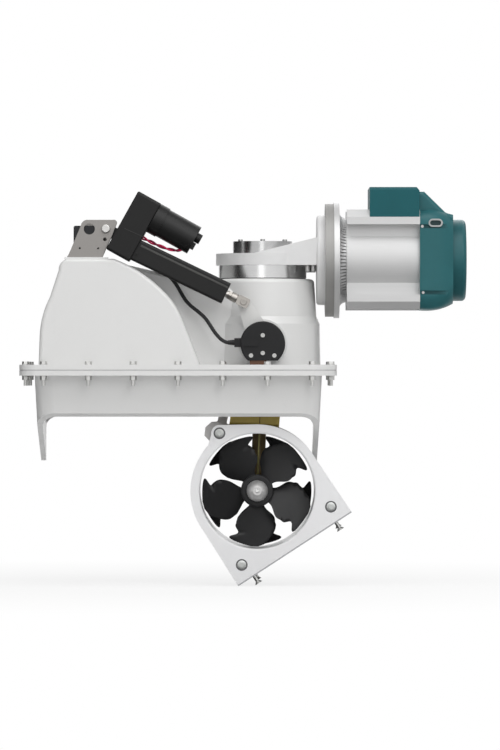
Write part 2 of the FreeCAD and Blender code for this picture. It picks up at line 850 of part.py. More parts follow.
def controller_box():
    low, high = motor_axis_height + box_low, motor_axis_height + box_high
    block = box((box_start, -box_half_y, low), (body_end - 1.0, box_half_y, high))
    ridges = [e for e in block.Edges if e.CenterOfMass.z > high - 1 and is_along(e, Vector(1, 0, 0))]
    block = block.makeFillet(box_edge, ridges)
    slope = slab_xz(outline_xz((body_end - 8, high + 1), [(body_end, high + 1), (body_end, high - 9)]),
                    -box_half_y - 1, box_half_y + 1)
    return block.cut(slope).cut(motor_section(box_start - 5, body_end)).removeSplitter()


# Swinging leg, built upright below the pivot and leaned to its lowered place

def leaned(shape):
    return turned(shape, leg_lean)


def below_pivot(depth, x=0.0, y=0.0):
    return (tower_x + x, y, pivot_height - depth)


def leg_yoke():
    """Bronze fork: two arms about the swing coupling, a cross piece and the leg column's head."""
    cross = pivot_height - yoke_cross_depth
    foot = pivot_height - yoke_end_depth
    arms = slab_xz(outline_xz((tower_x - yoke_round, pivot_height), [
        (tower_x, pivot_height + yoke_round, tower_x + yoke_round, pivot_height),
        (tower_x + yoke_right, cross), (tower_x + yoke_right - 6, foot), (tower_x - yoke_foot_left, foot),
        (tower_x - yoke_foot_left + 2.5, foot + 27), (tower_x - yoke_left - 2, foot + 73),
        (tower_x - yoke_left, cross)]), -arm_outer, arm_outer)
    between = box((tower_x - 80, -arm_inner, pivot_height - yoke_cross_depth - 22),
                  (tower_x + 80, arm_inner, pivot_height + 80))
    fork = arms.cut(between)
    corners = [e for e in fork.Edges if is_along(e, Vector(1, 0, 0)) and e.CenterOfMass.z < -100]
    fork = fork.makeFillet(10.0, corners)
    bore = rod(below_pivot(0), below_pivot(yoke_end_depth + 1), leg_shaft_radius + 1.5)
    seat = rod(below_pivot(yoke_cross_depth + 21), below_pivot(yoke_cross_depth + 34), leg_bearing_radius)
    pins = rod(below_pivot(0, 0, -arm_outer - 1), below_pivot(0, 0, arm_outer + 1), 12.0)
    return leaned(less(fork, [bore, seat, pins]))


def leg_bearings():
    top = yoke_cross_depth + 22
    upper = tube(below_pivot(top), below_pivot(top + 12), leg_bearing_radius,
                 leg_shaft_radius + running_gap)
    return leaned(upper)


def gear_leg():
    """Bronze leg in the tunnel: flange, tapered strut with an edge along its front, gear case."""
    top = rod(below_pivot(yoke_end_depth), below_pivot(yoke_end_depth + 14), 21.0)
    strut = rod(below_pivot(yoke_end_depth + 10), below_pivot(leg_length), leg_tube_radius)
    fin = Part.Face(Part.makePolygon([
        Vector(tower_x - 10, -6, 0), Vector(tower_x, -22, 0), Vector(tower_x + 10, -6, 0),
        Vector(tower_x + 10, 6, 0), Vector(tower_x, 22, 0), Vector(tower_x - 10, 6, 0),
        Vector(tower_x - 10, -6, 0)])).extrude(Vector(0, 0, leg_length - yoke_end_depth - 14))
    fin.translate(Vector(0, 0, pivot_height - leg_length))
    case = rod(below_pivot(leg_length, 0, -gearcase_half), below_pivot(leg_length, 0, gearcase_half),
               gearcase_radius)
    rims = [e for e in case.Edges if abs(abs(e.CenterOfMass.y) - gearcase_half) < 1e-6]
    case = case.makeFillet(5.0, rims)
    body = joined([top, strut, fin, case])
    cuts = [rod(below_pivot(yoke_end_depth - 1), below_pivot(leg_length), leg_shaft_radius + 1.0),
            rod(below_pivot(leg_length, 0, -gear_room), below_pivot(leg_length, 0, gear_room), 24.0),
            rod(below_pivot(leg_length, 0, -gearcase_half - 1),
                below_pivot(leg_length, 0, gearcase_half + 1),
                prop_bearing_radius)]
    return leaned(less(body, cuts))


def prop_bearings():
    pieces = []
    for side in (-1, 1):
        pieces.append(tube(below_pivot(leg_length, 0, side * (gear_room + 1)),
                           below_pivot(leg_length, 0, side * (gearcase_half - 4)), prop_bearing_radius,
                           prop_shaft_radius + running_gap))
    return leaned(Part.makeCompound(pieces))


def trunnion(side):
    """A swing pin: pressed in a fork arm, turning in the bearing of the tower's wall."""
    root = rod(below_pivot(0, 0, side * arm_inner), below_pivot(0, 0, side * arm_outer), 12.0)
    collar = rod(below_pivot(0, 0, side * arm_outer), below_pivot(0, 0, side * (boss_front - 19)), 24.0)
    end = boss_front + face_gap + (lever_thick if side < 0 else -4.0)
    pin = rod(below_pivot(0, 0, side * arm_outer), below_pivot(0, 0, side * end), trunnion_radius)
    return leaned(joined([root, collar, pin]))


def swing_bearings():
    pieces = []
    for side in (-1, 1):
        pieces.append(tube(below_pivot(0, 0, side * (boss_front - 18)),
                           below_pivot(0, 0, side * (boss_front - 5)),
                           bearing_radius, trunnion_radius + running_gap))
    return Part.makeCompound(pieces)


def swing_seals():
    front = tube(below_pivot(0, 0, -boss_front + 5), below_pivot(0, 0, -boss_front), bearing_radius,
                 trunnion_radius + running_gap)
    back = tube(below_pivot(0, 0, boss_front - 5), below_pivot(0, 0, boss_front), bearing_radius,
                trunnion_radius + running_gap)
    return Part.makeCompound([front, back])


def trunnion_cover():
    """Blind cover over the bearing at the back."""
    cover = rod(below_pivot(0, 0, boss_front), below_pivot(0, 0, boss_front + 8), 42.0)
    rim = [e for e in cover.Edges if abs(e.CenterOfMass.y - boss_front - 8) < 1e-6]
    return cover.makeFillet(3.0, rim)


def tapered_arm(start, end, radius_start, radius_end, low_y, high_y):
    """A flat arm whose sides are tangent to a round at each end."""
    run = end - start
    length = math.hypot(run.x, run.z)
    angle = math.atan2(run.z, run.x)
    swing = math.acos((radius_start - radius_end) / length)
    points = []
    for centre, radius in ((start, radius_start), (end, radius_end)):
        for side in (1, -1):
            turn = angle + side * swing
            points.append(Vector(centre.x + radius * math.cos(turn), 0,
                                 centre.z + radius * math.sin(turn)))
    sides = Part.makePolygon([points[0], points[2], points[3], points[1], points[0]])
    arm = slab_xz(sides, low_y, high_y)
    for centre, radius in ((start, radius_start), (end, radius_end)):
        arm = arm.fuse(rod((centre.x, low_y, centre.z), (centre.x, high_y, centre.z), radius))
    return arm.removeSplitter()


def swing_lever():
    low, high = lever_plane - lever_thick / 2, lever_plane + lever_thick / 2
    arm = tapered_arm(pivot, lever_eye, lever_hub_radius, 13.0, low, high)
    return less(arm, [rod((pivot.x, low - 1, pivot.z), (pivot.x, high + 1, pivot.z), trunnion_radius),
                      rod((lever_eye.x, low - 1, lever_eye.z), (lever_eye.x, high + 1, lever_eye.z),
                          6.0)])


# Swing coupling: both halves end on spheres about the pivot, so the leg swings under the drive shaft


def drive_shaft():
    ball = Part.makeSphere(ball_radius, pivot)
    vane = Part.makeSphere(vane_radius, pivot).common(
        box((tower_x - 60, -vane_half, pivot_height - 60), (tower_x + 60, vane_half, pivot_height + 24)))
    top = motor_axis_height + pinion_pitch
    shaft = rod((tower_x, 0, pivot_height), (tower_x, 0, top + 8), drive_shaft_radius)
    gear = bevel_teeth(drive_axis, Vector(0, 0, 1), gear_pitch, pinion_pitch, drive_teeth, 0.0,
                       tooth_share)
    return joined([ball, vane, shaft, gear])


def leg_shaft():
    shell = Part.makeSphere(cup_outer, pivot).cut(Part.makeSphere(cup_inner, pivot))
    spread = cup_outer * 1.5
    limit = cone(below_pivot(0), below_pivot(spread), 0.0, spread * math.tan(math.radians(cup_angle)))
    groove = Part.makeSphere(vane_radius + 2, pivot).common(
        box((tower_x - 60, -vane_half - 2, pivot_height - 60),
            (tower_x + 60, vane_half + 2, pivot_height)))
    cup = shell.common(limit).cut(groove)
    low = leg_length - lower_gear_pitch * 0.72
    shaft = rod(below_pivot(cup_outer - 3), below_pivot(low), leg_shaft_radius)
    apex = Vector(*below_pivot(leg_length))
    pinion = bevel_teeth(apex, Vector(0, 0, 1), lower_pinion_pitch, lower_gear_pitch, lower_pinion_teeth,
                         0.5, tooth_share)
    return leaned(joined([cup, shaft, pinion]))


def prop_shaft(side):
    gear = lower_gear(side)
    shaft = rod(below_pivot(leg_length, 0, side * lower_pinion_pitch),
                below_pivot(leg_length, 0, side * shaft_end),
                prop_shaft_radius)
    key = box((tower_x - 2.5, min(side * 50, side * 74), pivot_height - leg_length),
              (tower_x + 2.5, max(side * 50, side * 74),
               pivot_height - leg_length + prop_shaft_radius + 3))
    return leaned(joined([gear, shaft, key]))


def lower_gear(side):
    """The gear of one propeller shaft, made about Z and laid along Y."""
    apex = Vector(0, 0, 0)
    gear = bevel_teeth(apex, Vector(0, 0, 1), lower_gear_pitch, lower_pinion_pitch, lower_gear_teeth,
                       0.0, tooth_share)
    gear.rotate(apex, Vector(1, 0, 0), -90.0 * side)
    gear.translate(Vector(*below_pivot(leg_length)))
    return gear


# Propellers


def blade():
    """One skewed blade pointing down, lofted through level foils: depth, left and right edge of each."""
    wires = []
    for depth, left, right in blade_sections:
        rake = math.tan(math.radians(blade_pitch_angle)) * 30.0 / (30.0 + 0.45 * (depth - 30.0))
        thick = blade_thick * (1.25 - 0.75 * depth / blade_tip_radius)
        upper, lower = [], []
        for share in (0.0, 0.25, 0.5, 0.75, 1.0):
            x = left + (right - left) * share
            half = thick * (0.15 + 0.85 * math.sin(math.pi * share)) / 2
            upper.append(Vector(x, x * rake + half, -depth))
            lower.append(Vector(x, x * rake - half, -depth))
        front, back = Part.BSplineCurve(), Part.BSplineCurve()
        front.interpolate(upper)
        back.interpolate(lower)
        wires.append(Part.Wire([front.toShape(), Part.makeLine(upper[-1], lower[-1]), back.toShape(),
                                Part.makeLine(lower[0], upper[0])]))
    return Part.makeLoft(wires, True, False)


def propeller(side):
    centre = Vector(*below_pivot(leg_length, 0, side * prop_plane))
    hub = Part.makeCylinder(hub_radius, 2 * hub_half, Vector(0, -hub_half, 0), Vector(0, 1, 0))
    rims = [e for e in hub.Edges if isinstance(e.Curve, Part.Circle)]
    hub = hub.makeFillet(4.0, rims)
    single = blade()
    blades = [turned(single, 360.0 * step / blade_count, Vector(0, 0, 0)) for step in range(blade_count)]
    wheel = hub
    for part in blades:
        wheel = wheel.fuse(part)
    bore = Part.makeCylinder(prop_shaft_radius, 60, Vector(0, -30, 0), Vector(0, 1, 0))
    key = box((-2.6, -30, 0), (2.6, 30, prop_shaft_radius + 3.1))
    wheel = wheel.cut(bore).cut(key)
    if side > 0:
        wheel = wheel.mirror(Vector(0, 0, 0), Vector(1, 0, 0))
    wheel.translate(centre)
    return leaned(wheel)


def cone_nut(side):
    """Zinc dome that closes the hub, with a socket at its tip."""
    start = side * (prop_plane + hub_half)
    tip = side * (prop_plane + hub_half + cone_length)
    points = [(0, start), (cone_radius, start), (cone_radius * 0.93, start + side * cone_length * 0.5),
              (9.0, tip), (0, tip)]
    spots = [Vector(*below_pivot(leg_length, x, y)) for x, y in points]
    outline = Part.Wire([Part.makeLine(spots[0], spots[1]),
                         Part.Arc(spots[1], spots[2], spots[3]).toShape(),
                         Part.makeLine(spots[3], spots[4]), Part.makeLine(spots[4], spots[0])])
    nose = Part.Face(outline).revolve(spots[0], Vector(0, 1, 0), 360)
    bore = rod(below_pivot(leg_length, 0, start - side),
               below_pivot(leg_length, 0, side * (shaft_end + 1)),
               prop_shaft_radius + running_gap)
    screw = hexagon(below_pivot(leg_length, 0, tip - side * 4), below_pivot(leg_length, 0, tip + side),
                    5.0)
    return leaned(less(nose, [bore, screw]))


# Tunnel, built with its base level about its own centre, then tilted to its lowered place

def tilted(shape):
    shape = turned(shape, -tunnel_rest_tilt, Vector(0, 0, 0))
    shape.translate(tunnel_centre)
    return shape


def tunnel_plate(side):
    low, high = sorted((side * (tunnel_half_y - plate_thick), side * tunnel_half_y))
    ring = rod((0, low, 0), (0, high, 0), ring_radius)
    skirt_part = slab_xz(outline_xz((-base_half, -base_distance), [
        (base_half, -base_distance), (ring_radius - 0.5, 10), (-ring_radius + 0.5, 10)]), low, high)
    ear = rod((0, low, ear_distance), (0, high, ear_distance), ear_radius)
    lean_out = math.acos((ring_radius - ear_radius) / ear_distance)
    out_x, out_z = math.sin(lean_out), math.cos(lean_out)
    blend = slab_xz(outline_xz((-ear_radius + 2, ear_distance + 8), [
        (ear_radius * out_x, ear_distance + ear_radius * out_z), (ring_radius * out_x,
                                                                  ring_radius * out_z),
        (ear_radius, ring_radius - 30), (-ear_radius, ring_radius - 30), (-2 * ear_radius,
                                                                          ring_radius - 4)]),
        low, high)
    plate = joined([ring, skirt_part, ear, blend])
    plate = plate.cut(rod((0, low - 1, 0), (0, high + 1, 0), tunnel_bore / 2))
    face = side * tunnel_half_y
    lip = [e for e in plate.Edges if isinstance(e.Curve,
                                                Part.Circle) and abs(e.Curve.Radius - tunnel_bore / 2) < 1e-3
           and abs(e.CenterOfMass.y - face) < 1e-3]
    plate = plate.makeFillet(4.0, lip)
    cuts = []
    for x, z in tie_points:
        cuts.append(rod((x, low - 1, z), (x, high + 1, z), tie_radius))
        cuts.append(rod((x, face - side * 3, z), (x, face + side, z), tie_head_radius + 2.4))
    for x in (-hatch_pitch, hatch_pitch):
        middle = (low + high) / 2
        cuts.append(rod((x, middle, -base_distance - 1), (x, middle, -base_distance + 16),
                        hatch_screw_radius))
    return less(plate, cuts)


def tunnel_plates():
    return tilted(Part.makeCompound([tunnel_plate(-1), tunnel_plate(1)]))


def tunnel_tube():
    half = tunnel_half_y - plate_thick
    outer = tunnel_bore / 2 + tunnel_wall
    shell = tube((0, -half, 0), (0, half, 0), outer, tunnel_bore / 2)
    start = tunnel_rest_tilt + leg_lean + slot_low
    sector = slot_sector(start, start + (swing_angle - tunnel_rest_tilt) + slot_high - slot_low)
    return tilted(shell.cut(sector))


def slot_sector(start, end):
    """The path of the leg through the tunnel wall, as a wedge about the tunnel's axis."""
    reach = tunnel_bore
    middle = math.radians((start + end) / 2)
    low, high = math.radians(start), math.radians(end)
    points = outline_xz((0, 0), [
        (reach * math.sin(low), reach * math.cos(low)),
        (reach * math.sin(middle), reach * math.cos(middle), reach * math.sin(high),
         reach * math.cos(high))])
    return slab_xz(points, -leg_slot_half_y, leg_slot_half_y)


def tie_rods():
    rods = []
    for x, z in tie_points:
        bar = rod((x, -tunnel_half_y + 3, z), (x, tunnel_half_y - 3, z), tie_radius)
        for side in (-1, 1):
            head = rod((x, side * (tunnel_half_y - 3), z), (x, side * (tunnel_half_y - 0.6), z),
                       tie_head_radius)
            bar = bar.fuse(head)
        rods.append(bar.removeSplitter())
    return tilted(Part.makeCompound(rods))


def base_plate():
    half = tunnel_half_y
    plate = box((-base_half, -half, -base_distance - base_strip_thick), (base_half, half, -base_distance))
    cuts = []
    for x in (-hatch_pitch, hatch_pitch):
        for side in (-1, 1):
            y = side * (tunnel_half_y - plate_thick / 2)
            cuts.append(rod((x, y, -base_distance - 9), (x, y, -base_distance + 1), hatch_screw_radius))
    return tilted(less(plate, cuts))


def hatch_screws():
    screws = []
    for x in (-hatch_pitch, hatch_pitch):
        for side in (-1, 1):
            y = side * (tunnel_half_y - plate_thick / 2)
            end = -base_distance - base_strip_thick - hatch_screw_drop
            shank = rod((x, y, end), (x, y, -base_distance + 14), hatch_screw_radius)
            head = cone((x, y, end - 1.5), (x, y, end + 4.5), hatch_head_radius, hatch_screw_radius)
            screws.append(shank.fuse(head).removeSplitter())
    return tilted(Part.makeCompound(screws))


# Link rods: they turn the tunnel level as the leg comes up

lower_eye = polar(tunnel_centre, ear_distance, -tunnel_rest_tilt)


def swung(point, degrees, centre):
    turn = math.radians(degrees)
    run = point - centre
    return centre + Vector(run.x * math.cos(turn) + run.z * math.sin(turn), 0,
                           -run.x * math.sin(turn) + run.z * math.cos(turn))


def raised_lower_eye():
    """Where the lower eye stands once the leg is up and the tunnel is level."""
    centre = swung(tunnel_centre, swing_angle, pivot)
    return centre + Vector(0, 0, ear_distance)


def anchor():
    """The fixed upper pivot: as far from the lower eye when it is up as when it is down."""
    down, up = lower_eye, raised_lower_eye()
    middle = (down + up) * 0.5
    run = up - down
    z = link_anchor_height
    x = middle.x - (z - middle.z) * run.z / run.x
    return Vector(x, 0, z)


link_anchor_point = anchor()


def link_rods():
    rods = []
    for side in (-1, 1):
        low, high = sorted((side * (link_half_spread - link_thick / 2),
                            side * (link_half_spread + link_thick / 2)))
        bar = tapered_arm(lower_eye, link_anchor_point, link_eye_radius, link_eye_radius + 0.01, low, high)
        run = link_anchor_point - lower_eye
        across = Vector(run.z, 0, -run.x).normalize()
        for edge in (-1, 1):
            offset = across * (edge * (link_width / 2 + link_relief_radius))
            start = lower_eye + run * 0.09 + offset
            end = lower_eye + run * 0.91 + offset
            relief = tapered_arm(start, end, link_relief_radius, link_relief_radius + 0.01, low - 1, high + 1)
            bar = bar.cut(relief)
        reach = sorted((side * (link_half_spread - link_thick / 2),
                        side * (tunnel_half_y - plate_thick - face_gap)))
        hub = rod((lower_eye.x, reach[0], lower_eye.z), (lower_eye.x, reach[1], lower_eye.z), link_eye_radius)
        spots = [(lower_eye.x + x, lower_eye.z + z) for x, z in cam_points]
        face = reach[0] if side < 0 else reach[1]
        cam = slab_xz(outline_xz(spots[-1], spots[:-1]), *sorted((side * cam_end, face)))
        piece = joined([bar, hub, cam])
        cuts = [rod((lower_eye.x, -150, lower_eye.z), (lower_eye.x, 150, lower_eye.z),
                    tie_radius + running_gap),
                rod((link_anchor_point.x, -60, link_anchor_point.z),
                    (link_anchor_point.x, 60, link_anchor_point.z),
                    link_pin_radius)]
        rods.append(less(piece, cuts))
    return Part.makeCompound(rods)


def link_anchor_pins():
    """Two stub pins screwed into the tower's walls from its flanks, up to the links' upper eyes."""
    x, z = link_anchor_point.x, link_anchor_point.z
    start = link_half_spread + link_thick / 2 + face_gap
    pieces = [rod((x, side * start, z), (x, side * link_pin_end, z), link_pin_radius) for side in (-1, 1)]
    return Part.makeCompound(pieces)


# Actuator: built along its own axis from the rear pin, U along it and W square to it, then turned


def placed(shape, lean=0.0, drop=ram_offset):
    """From the ram's own frame (X along it, Z square to it) to its place on the housing."""
    copy = shape.copy()
    copy.translate(Vector(0, 0, -drop))
    copy = turned(copy, actuator_angle + lean, Vector(0, 0, 0))
    copy.translate(Vector(rear_pin.x, ram_plane, rear_pin.z))
    return copy


def gear_block():
    block = box((housing_start, -housing_half_y, housing_low),
                (housing_end, housing_half_y, housing_high))
    block = block.makeFillet(6.0, [e for e in block.Edges if is_along(e, Vector(1, 0, 0))])
    return placed(block.makeChamfer(2.0, [e for e in block.Edges if is_along(e, Vector(0, 1, 0))]),
                  motor_lean, 0.0)


def actuator_gear_housing():
    ear = box((0, -9, -13), (housing_start + 2, 9, 13)).fuse(rod((0, -9, 0), (0, 9, 0), 13.0))
    body = joined([gear_block(), placed(ear, motor_lean, 0.0)])
    pin = placed(rod((0, -40, 0), (0, 40, 0), bracket_pin_radius + running_gap), motor_lean, 0.0)
    return less(body, [pin, placed(rod((housing_start + 8, 0, 0), (housing_end + 20, 0, 0), 11.0))])


def actuator_tube():
    case = box((housing_end - 20, -tube_half, -tube_half), (tube_end, tube_half, tube_half))
    case = case.makeFillet(5.0, [e for e in case.Edges if is_along(e, Vector(1, 0, 0))])
    hollow = box((housing_end - 21, -tube_half + 4, -tube_half + 4),
                 (tube_end - 12, tube_half - 4, tube_half - 4))
    case = placed(less(case, [hollow, rod((housing_end, 0, 0), (tube_end + 1, 0, 0), rod_bore)]))
    beyond = box((-60, -60, -120), (housing_end, 60, 160))
    return case.cut(placed(beyond, motor_lean, 0.0))


def actuator_motor():
    can = rod((housing_end, 0, motor_can_w), (motor_can_end, 0, motor_can_w), motor_can_radius)
    collar = rod((housing_end, 0, motor_can_w), (housing_end + 22, 0, motor_can_w),
                 motor_can_radius + 2.0)
    boss = rod((motor_can_end - 1, 0, motor_can_w + 8), (motor_can_end + 11.5, 0, motor_can_w + 8), 11.0)
    step = box((motor_can_end - 1, -14, motor_can_w - 20), (motor_can_end + 7.0, 14, motor_can_w - 4))
    return placed(joined([collar, can, boss, step]), motor_lean, 0.0)


def actuator_leads():
    """Two leads in the gap between motor and tube, each a bent tube."""
    leads = []
    for side in (-1, 1):
        points = [(housing_end, side * 4.0, 31.0), (housing_end + 18, side * 4.0, 31.0),
                  (housing_end + 40, side * 5.0, 29.0), (housing_end + 62, side * 6.0, 32.0)]
        runs = [rod(points[step], points[step + 1], lead_radius) for step in range(len(points) - 1)]
        leads.append(placed(joined(runs), motor_lean, 0.0).Solids[0])
    return Part.makeCompound(leads)


def actuator_rod():
    bar = rod((housing_end + 20, 0, 0), (actuator_length - 29.0, 0, 0), rod_radius)
    nut = rod((housing_end + 14, 0, 0), (housing_end + 36, 0, 0), rod_nut_radius)
    return placed(joined([bar, nut]))


def rod_end():
    """Eye on the rod, in front of the lever's eye, with its bolt head and lock nut."""
    start = actuator_length - 30.0
    socket = rod((start, 0, 0), (start + 16, 0, 0), ram_socket_radius)
    nut = hexagon((start - 7, 0, 0), (start, 0, 0), ram_nut_across)
    eye = rod((actuator_length, -ram_eye_half, 0), (actuator_length, ram_eye_half, 0), ram_eye_radius)
    neck = box((start + 10, -ram_eye_half, -ram_neck_half), (actuator_length, ram_eye_half, ram_neck_half))
    head = rod((actuator_length, -ram_eye_half - ram_screw_head, 0), (actuator_length, -ram_eye_half, 0),
               ram_screw_radius)
    socket_hole = hexagon((actuator_length, -ram_eye_half - 5.0, 0),
                          (actuator_length, -ram_eye_half - 1.5, 0), 6.0)
    body = joined([socket, nut, eye, neck, head]).cut(socket_hole)
    return placed(body.cut(rod((start - 8, 0, 0), (start + 1.0, 0, 0), rod_radius)))


def bracket_plate(low, high):
    floor = bracket_floor
    return slab_xz(outline_xz((bracket_left, floor), [
        (-232.2, floor + 16), (-210.1, 324.3), (-204.5, 334.0, -194.0, 336.7), (-140.3, 336.7),
        (-134.0, 335.0, -132.7, 330.0), (-143.7, 300.9), (-153.9, 279.7), (bracket_right, floor)]), low, high)


def actuator_bracket():
    """Stainless sheet folded to a channel: two cheeks with holes and a foot bolted to the pad."""
    near = bracket_plate(bracket_near, bracket_near + bracket_sheet)
    far = bracket_plate(bracket_far - bracket_sheet, bracket_far)
    foot = box((bracket_left, bracket_near, bracket_floor),
               (bracket_right, bracket_far, bracket_floor + bracket_sheet))
    cuts = []
    for x, z, radius in bracket_holes:
        cuts.append(rod((x, bracket_near - 1, z), (x, bracket_near + bracket_sheet + 1, z), radius))
    cuts.append(rod((rear_pin.x, -190, rear_pin.z), (rear_pin.x, -100, rear_pin.z), bracket_pin_radius))
    x, y, z = cable_route[-1]
    cuts.append(rod((x, bracket_far - bracket_sheet - 1, z), (x, y, z), gland_radius + 0.4))
    return less(joined([near, far, foot]), cuts)


def bracket_pin():
    pin = rod((rear_pin.x, bracket_near - 4, rear_pin.z), (rear_pin.x, bracket_far + 3, rear_pin.z),
              bracket_pin_radius)
    head = rod((rear_pin.x, bracket_near - 5, rear_pin.z), (rear_pin.x, bracket_near, rear_pin.z),
               bracket_pin_head)
    head = head.makeFillet(2.0, [e for e in head.Edges if abs(e.CenterOfMass.y - bracket_near + 5) < 1e-6])
    spacers = []
    for low, high in ((bracket_near + bracket_sheet, ram_plane - 9.4),
                      (ram_plane + 9.4, bracket_far - bracket_sheet)):
        spacers.append(tube((rear_pin.x, low, rear_pin.z), (rear_pin.x, high, rear_pin.z),
                            bracket_spacer_radius, bracket_pin_radius - 1))
    return joined([pin, head] + spacers)


def bracket_screws():
    screws = []
    for x in bracket_screw_x:
        for y in (bracket_near + bracket_screw_in, bracket_far - bracket_screw_in):
            top = bracket_floor + bracket_sheet
            head = rod((x, y, top), (x, y, top + 5), bracket_screw_radius)
            screws.append(head.cut(hexagon((x, y, top + 2), (x, y, top + 6), 5.0)))
    return Part.makeCompound(screws)


def control_box():
    low = bracket_floor + bracket_sheet + 5.5
    block = box((control_box_left, bracket_near + bracket_sheet + control_box_gap, low),
                (control_box_right, bracket_far - bracket_sheet - control_box_gap, control_box_top))
    block = block.makeFillet(4.0, [e for e in block.Edges if is_along(e, Vector(0, 1, 0))])
    x, y, z = cable_route[-1]
    gland = rod((x, bracket_far - bracket_sheet - 1, z), (x, y, z), gland_radius)
    return block.fuse(gland)


# Swing sensor in front of the lever


def sensor_housing():
    disc = rod((tower_x, sensor_front, pivot_height), (tower_x, sensor_back, pivot_height), disc_radius)
    rim = [e for e in disc.Edges if abs(e.CenterOfMass.y - sensor_front) < 1e-6]
    disc = disc.makeFillet(3.0, rim)
    below = box((tower_x - 60, sensor_front - 1, -30), (tower_x + 60, sensor_back + 1, sensor_flat))
    boss = box((tower_x - snout_left, sensor_front + 3, pivot_height - snout_low),
               (tower_x - snout_right, sensor_back - 1, pivot_height + snout_high))
    bar = box((tower_x - rib_left, sensor_front - rib_proud, pivot_height - rib_low),
              (tower_x - rib_right, sensor_front + 2, pivot_height + rib_high))
    body = joined([disc.cut(below), boss, bar])
    holes = [rod((tower_x + x, sensor_front - 1, pivot_height + z),
                 (tower_x + x, sensor_front + 6, pivot_height + z), sensor_screw_radius)
             for x, z in sensor_screw_points]
    cable_hole = rod((tower_x - snout_left - 1, sensor_cable_y, sensor_cable_z),
                     (tower_x - rib_left - 4, sensor_cable_y, sensor_cable_z), cable_radius)
    return less(body, holes + [cable_hole])


def sensor_screws():
    screws = []
    for x, z in sensor_screw_points:
        head = rod((tower_x + x, sensor_front - rib_proud, pivot_height + z),
                   (tower_x + x, sensor_front, pivot_height + z), sensor_head_radius)
        shank = rod((tower_x + x, sensor_front, pivot_height + z),
                    (tower_x + x, sensor_front + 6, pivot_height + z), sensor_screw_radius)
        socket = hexagon((tower_x + x, sensor_front - 3, pivot_height + z),
                         (tower_x + x, sensor_front - 1, pivot_height + z), 3.5)
        screws.append(head.fuse(shank).cut(socket))
    return Part.makeCompound([s.Solids[0] for s in screws])


# Sensor cable: one free length from the sensor, behind the actuator, to the control box


def cord(route, radius):
    """A tube along straight runs joined by tangent arcs, each as large as its two runs allow."""
    points = [Vector(*p) for p in route]
    edges = []
    here = points[0]
    length = 0.0
    for index in range(1, len(points) - 1):
        before = (points[index] - points[index - 1])
        after = (points[index + 1] - points[index])
        turn = before.getAngle(after)
        back = 0.45 * min(before.Length, after.Length)
        bend = back / math.tan(turn / 2)
        print("cord turn", index, round(math.degrees(turn), 1), "radius", round(bend, 1))
        before.normalize()
        after.normalize()
        start = points[index] - before * back
        end = points[index] + after * back
        towards = (after - before).normalize()
        centre = points[index] + towards * (bend / math.cos(turn / 2))
        middle = centre - towards * bend
        edges.append(Part.LineSegment(here, start).toShape())
        edges.append(Part.Arc(start, middle, end).toShape())
        length += (start - here).Length + bend * turn
        here = end
    edges.append(Part.LineSegment(here, points[-1]).toShape())
    length += (points[-1] - here).Length
    ring = Part.Wire([Part.makeCircle(radius, points[0], points[1] - points[0])])
    solid = Part.Wire(edges).makePipeShell([ring], True, True)
    print("cord length", round(length, 1), "volume ratio",
          round(solid.Volume / (math.pi * radius ** 2 * length), 5))
    return solid


def sensor_foot():
    """Copper-coloured foot that carries the sensor on the flange."""
    return box((tower_x - 28, sensor_front + 2, upper_deck), (tower_x + 8, sensor_back, sensor_flat))


def main():
    save("lower_housing", lower_housing())
    save("upper_housing", upper_housing())
    save("flange_gasket", flange_gasket())
    save("flange_bolts", flange_bolts())
    save("flange_nuts", flange_nuts())
    save("tower_gasket", tower_gasket())
    save("adapter_ring", adapter_ring())
    save("drive_bearing", drive_bearing())
    save("drive_elbow", drive_elbow())
    save("pinion_bearing", pinion_bearing())
    save("top_cap", top_cap())
    screws = [cap_screws(), elbow_screws(), bracket_screws(), scoop_screws()]
    save("socket_screws", Part.makeCompound([solid for group in screws for solid in group.Solids]))
    save("motor_rotor", motor_rotor())
    save("motor_adapter", motor_adapter())
    save("motor_flange", motor_flange())
    save("motor_body", motor_body())
    save("stator_core", stator_core())
    save("motor_bearings", motor_bearings())
    save("motor_end_cap", motor_end_cap())
    save("motor_rear_cover", motor_rear_cover())
    save("cable_grommet", cable_grommet())
    save("controller_box", controller_box())
    save("leg_yoke", leg_yoke())
    save("leg_bearings", leg_bearings())
    save("gear_leg", gear_leg())
    save("prop_bearings", prop_bearings())
    save("front_trunnion", trunnion(-1))
    save("back_trunnion", trunnion(1))
    save("swing_bearings", swing_bearings())
    save("swing_seals", swing_seals())
    save("trunnion_cover", trunnion_cover())
    save("swing_lever", swing_lever())
    save("drive_shaft", drive_shaft())
    save("leg_shaft", leg_shaft())
    save("front_prop_shaft", prop_shaft(-1))
    save("back_prop_shaft", prop_shaft(1))
    save("front_propeller", propeller(-1))
    save("back_propeller", propeller(1))
    save("front_cone", cone_nut(-1))
    save("back_cone", cone_nut(1))
    save("tunnel_plates", tunnel_plates())
    save("tunnel_tube", tunnel_tube())
    save("tie_rods", tie_rods())
    save("base_plate", base_plate())
    save("hatch_screws", hatch_screws())
    save("link_rods", link_rods())
    save("link_anchor_pins", link_anchor_pins())
    save("actuator_gear_housing", actuator_gear_housing())
    save("actuator_tube", actuator_tube())
    save("actuator_motor", actuator_motor())
    save("actuator_leads", actuator_leads())
    save("actuator_rod", actuator_rod())
    save("rod_end", rod_end())
    save("actuator_bracket", actuator_bracket())
    save("bracket_pin", bracket_pin())
    save("control_box", control_box())
    save("sensor_housing", sensor_housing())
    save("sensor_screws", sensor_screws())
    save("sensor_foot", sensor_foot())
    save("sensor_cable", cord(cable_route, cable_radius))


main()
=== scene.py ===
import math

import bmesh
import bpy
from mathutils import Matrix, Vector


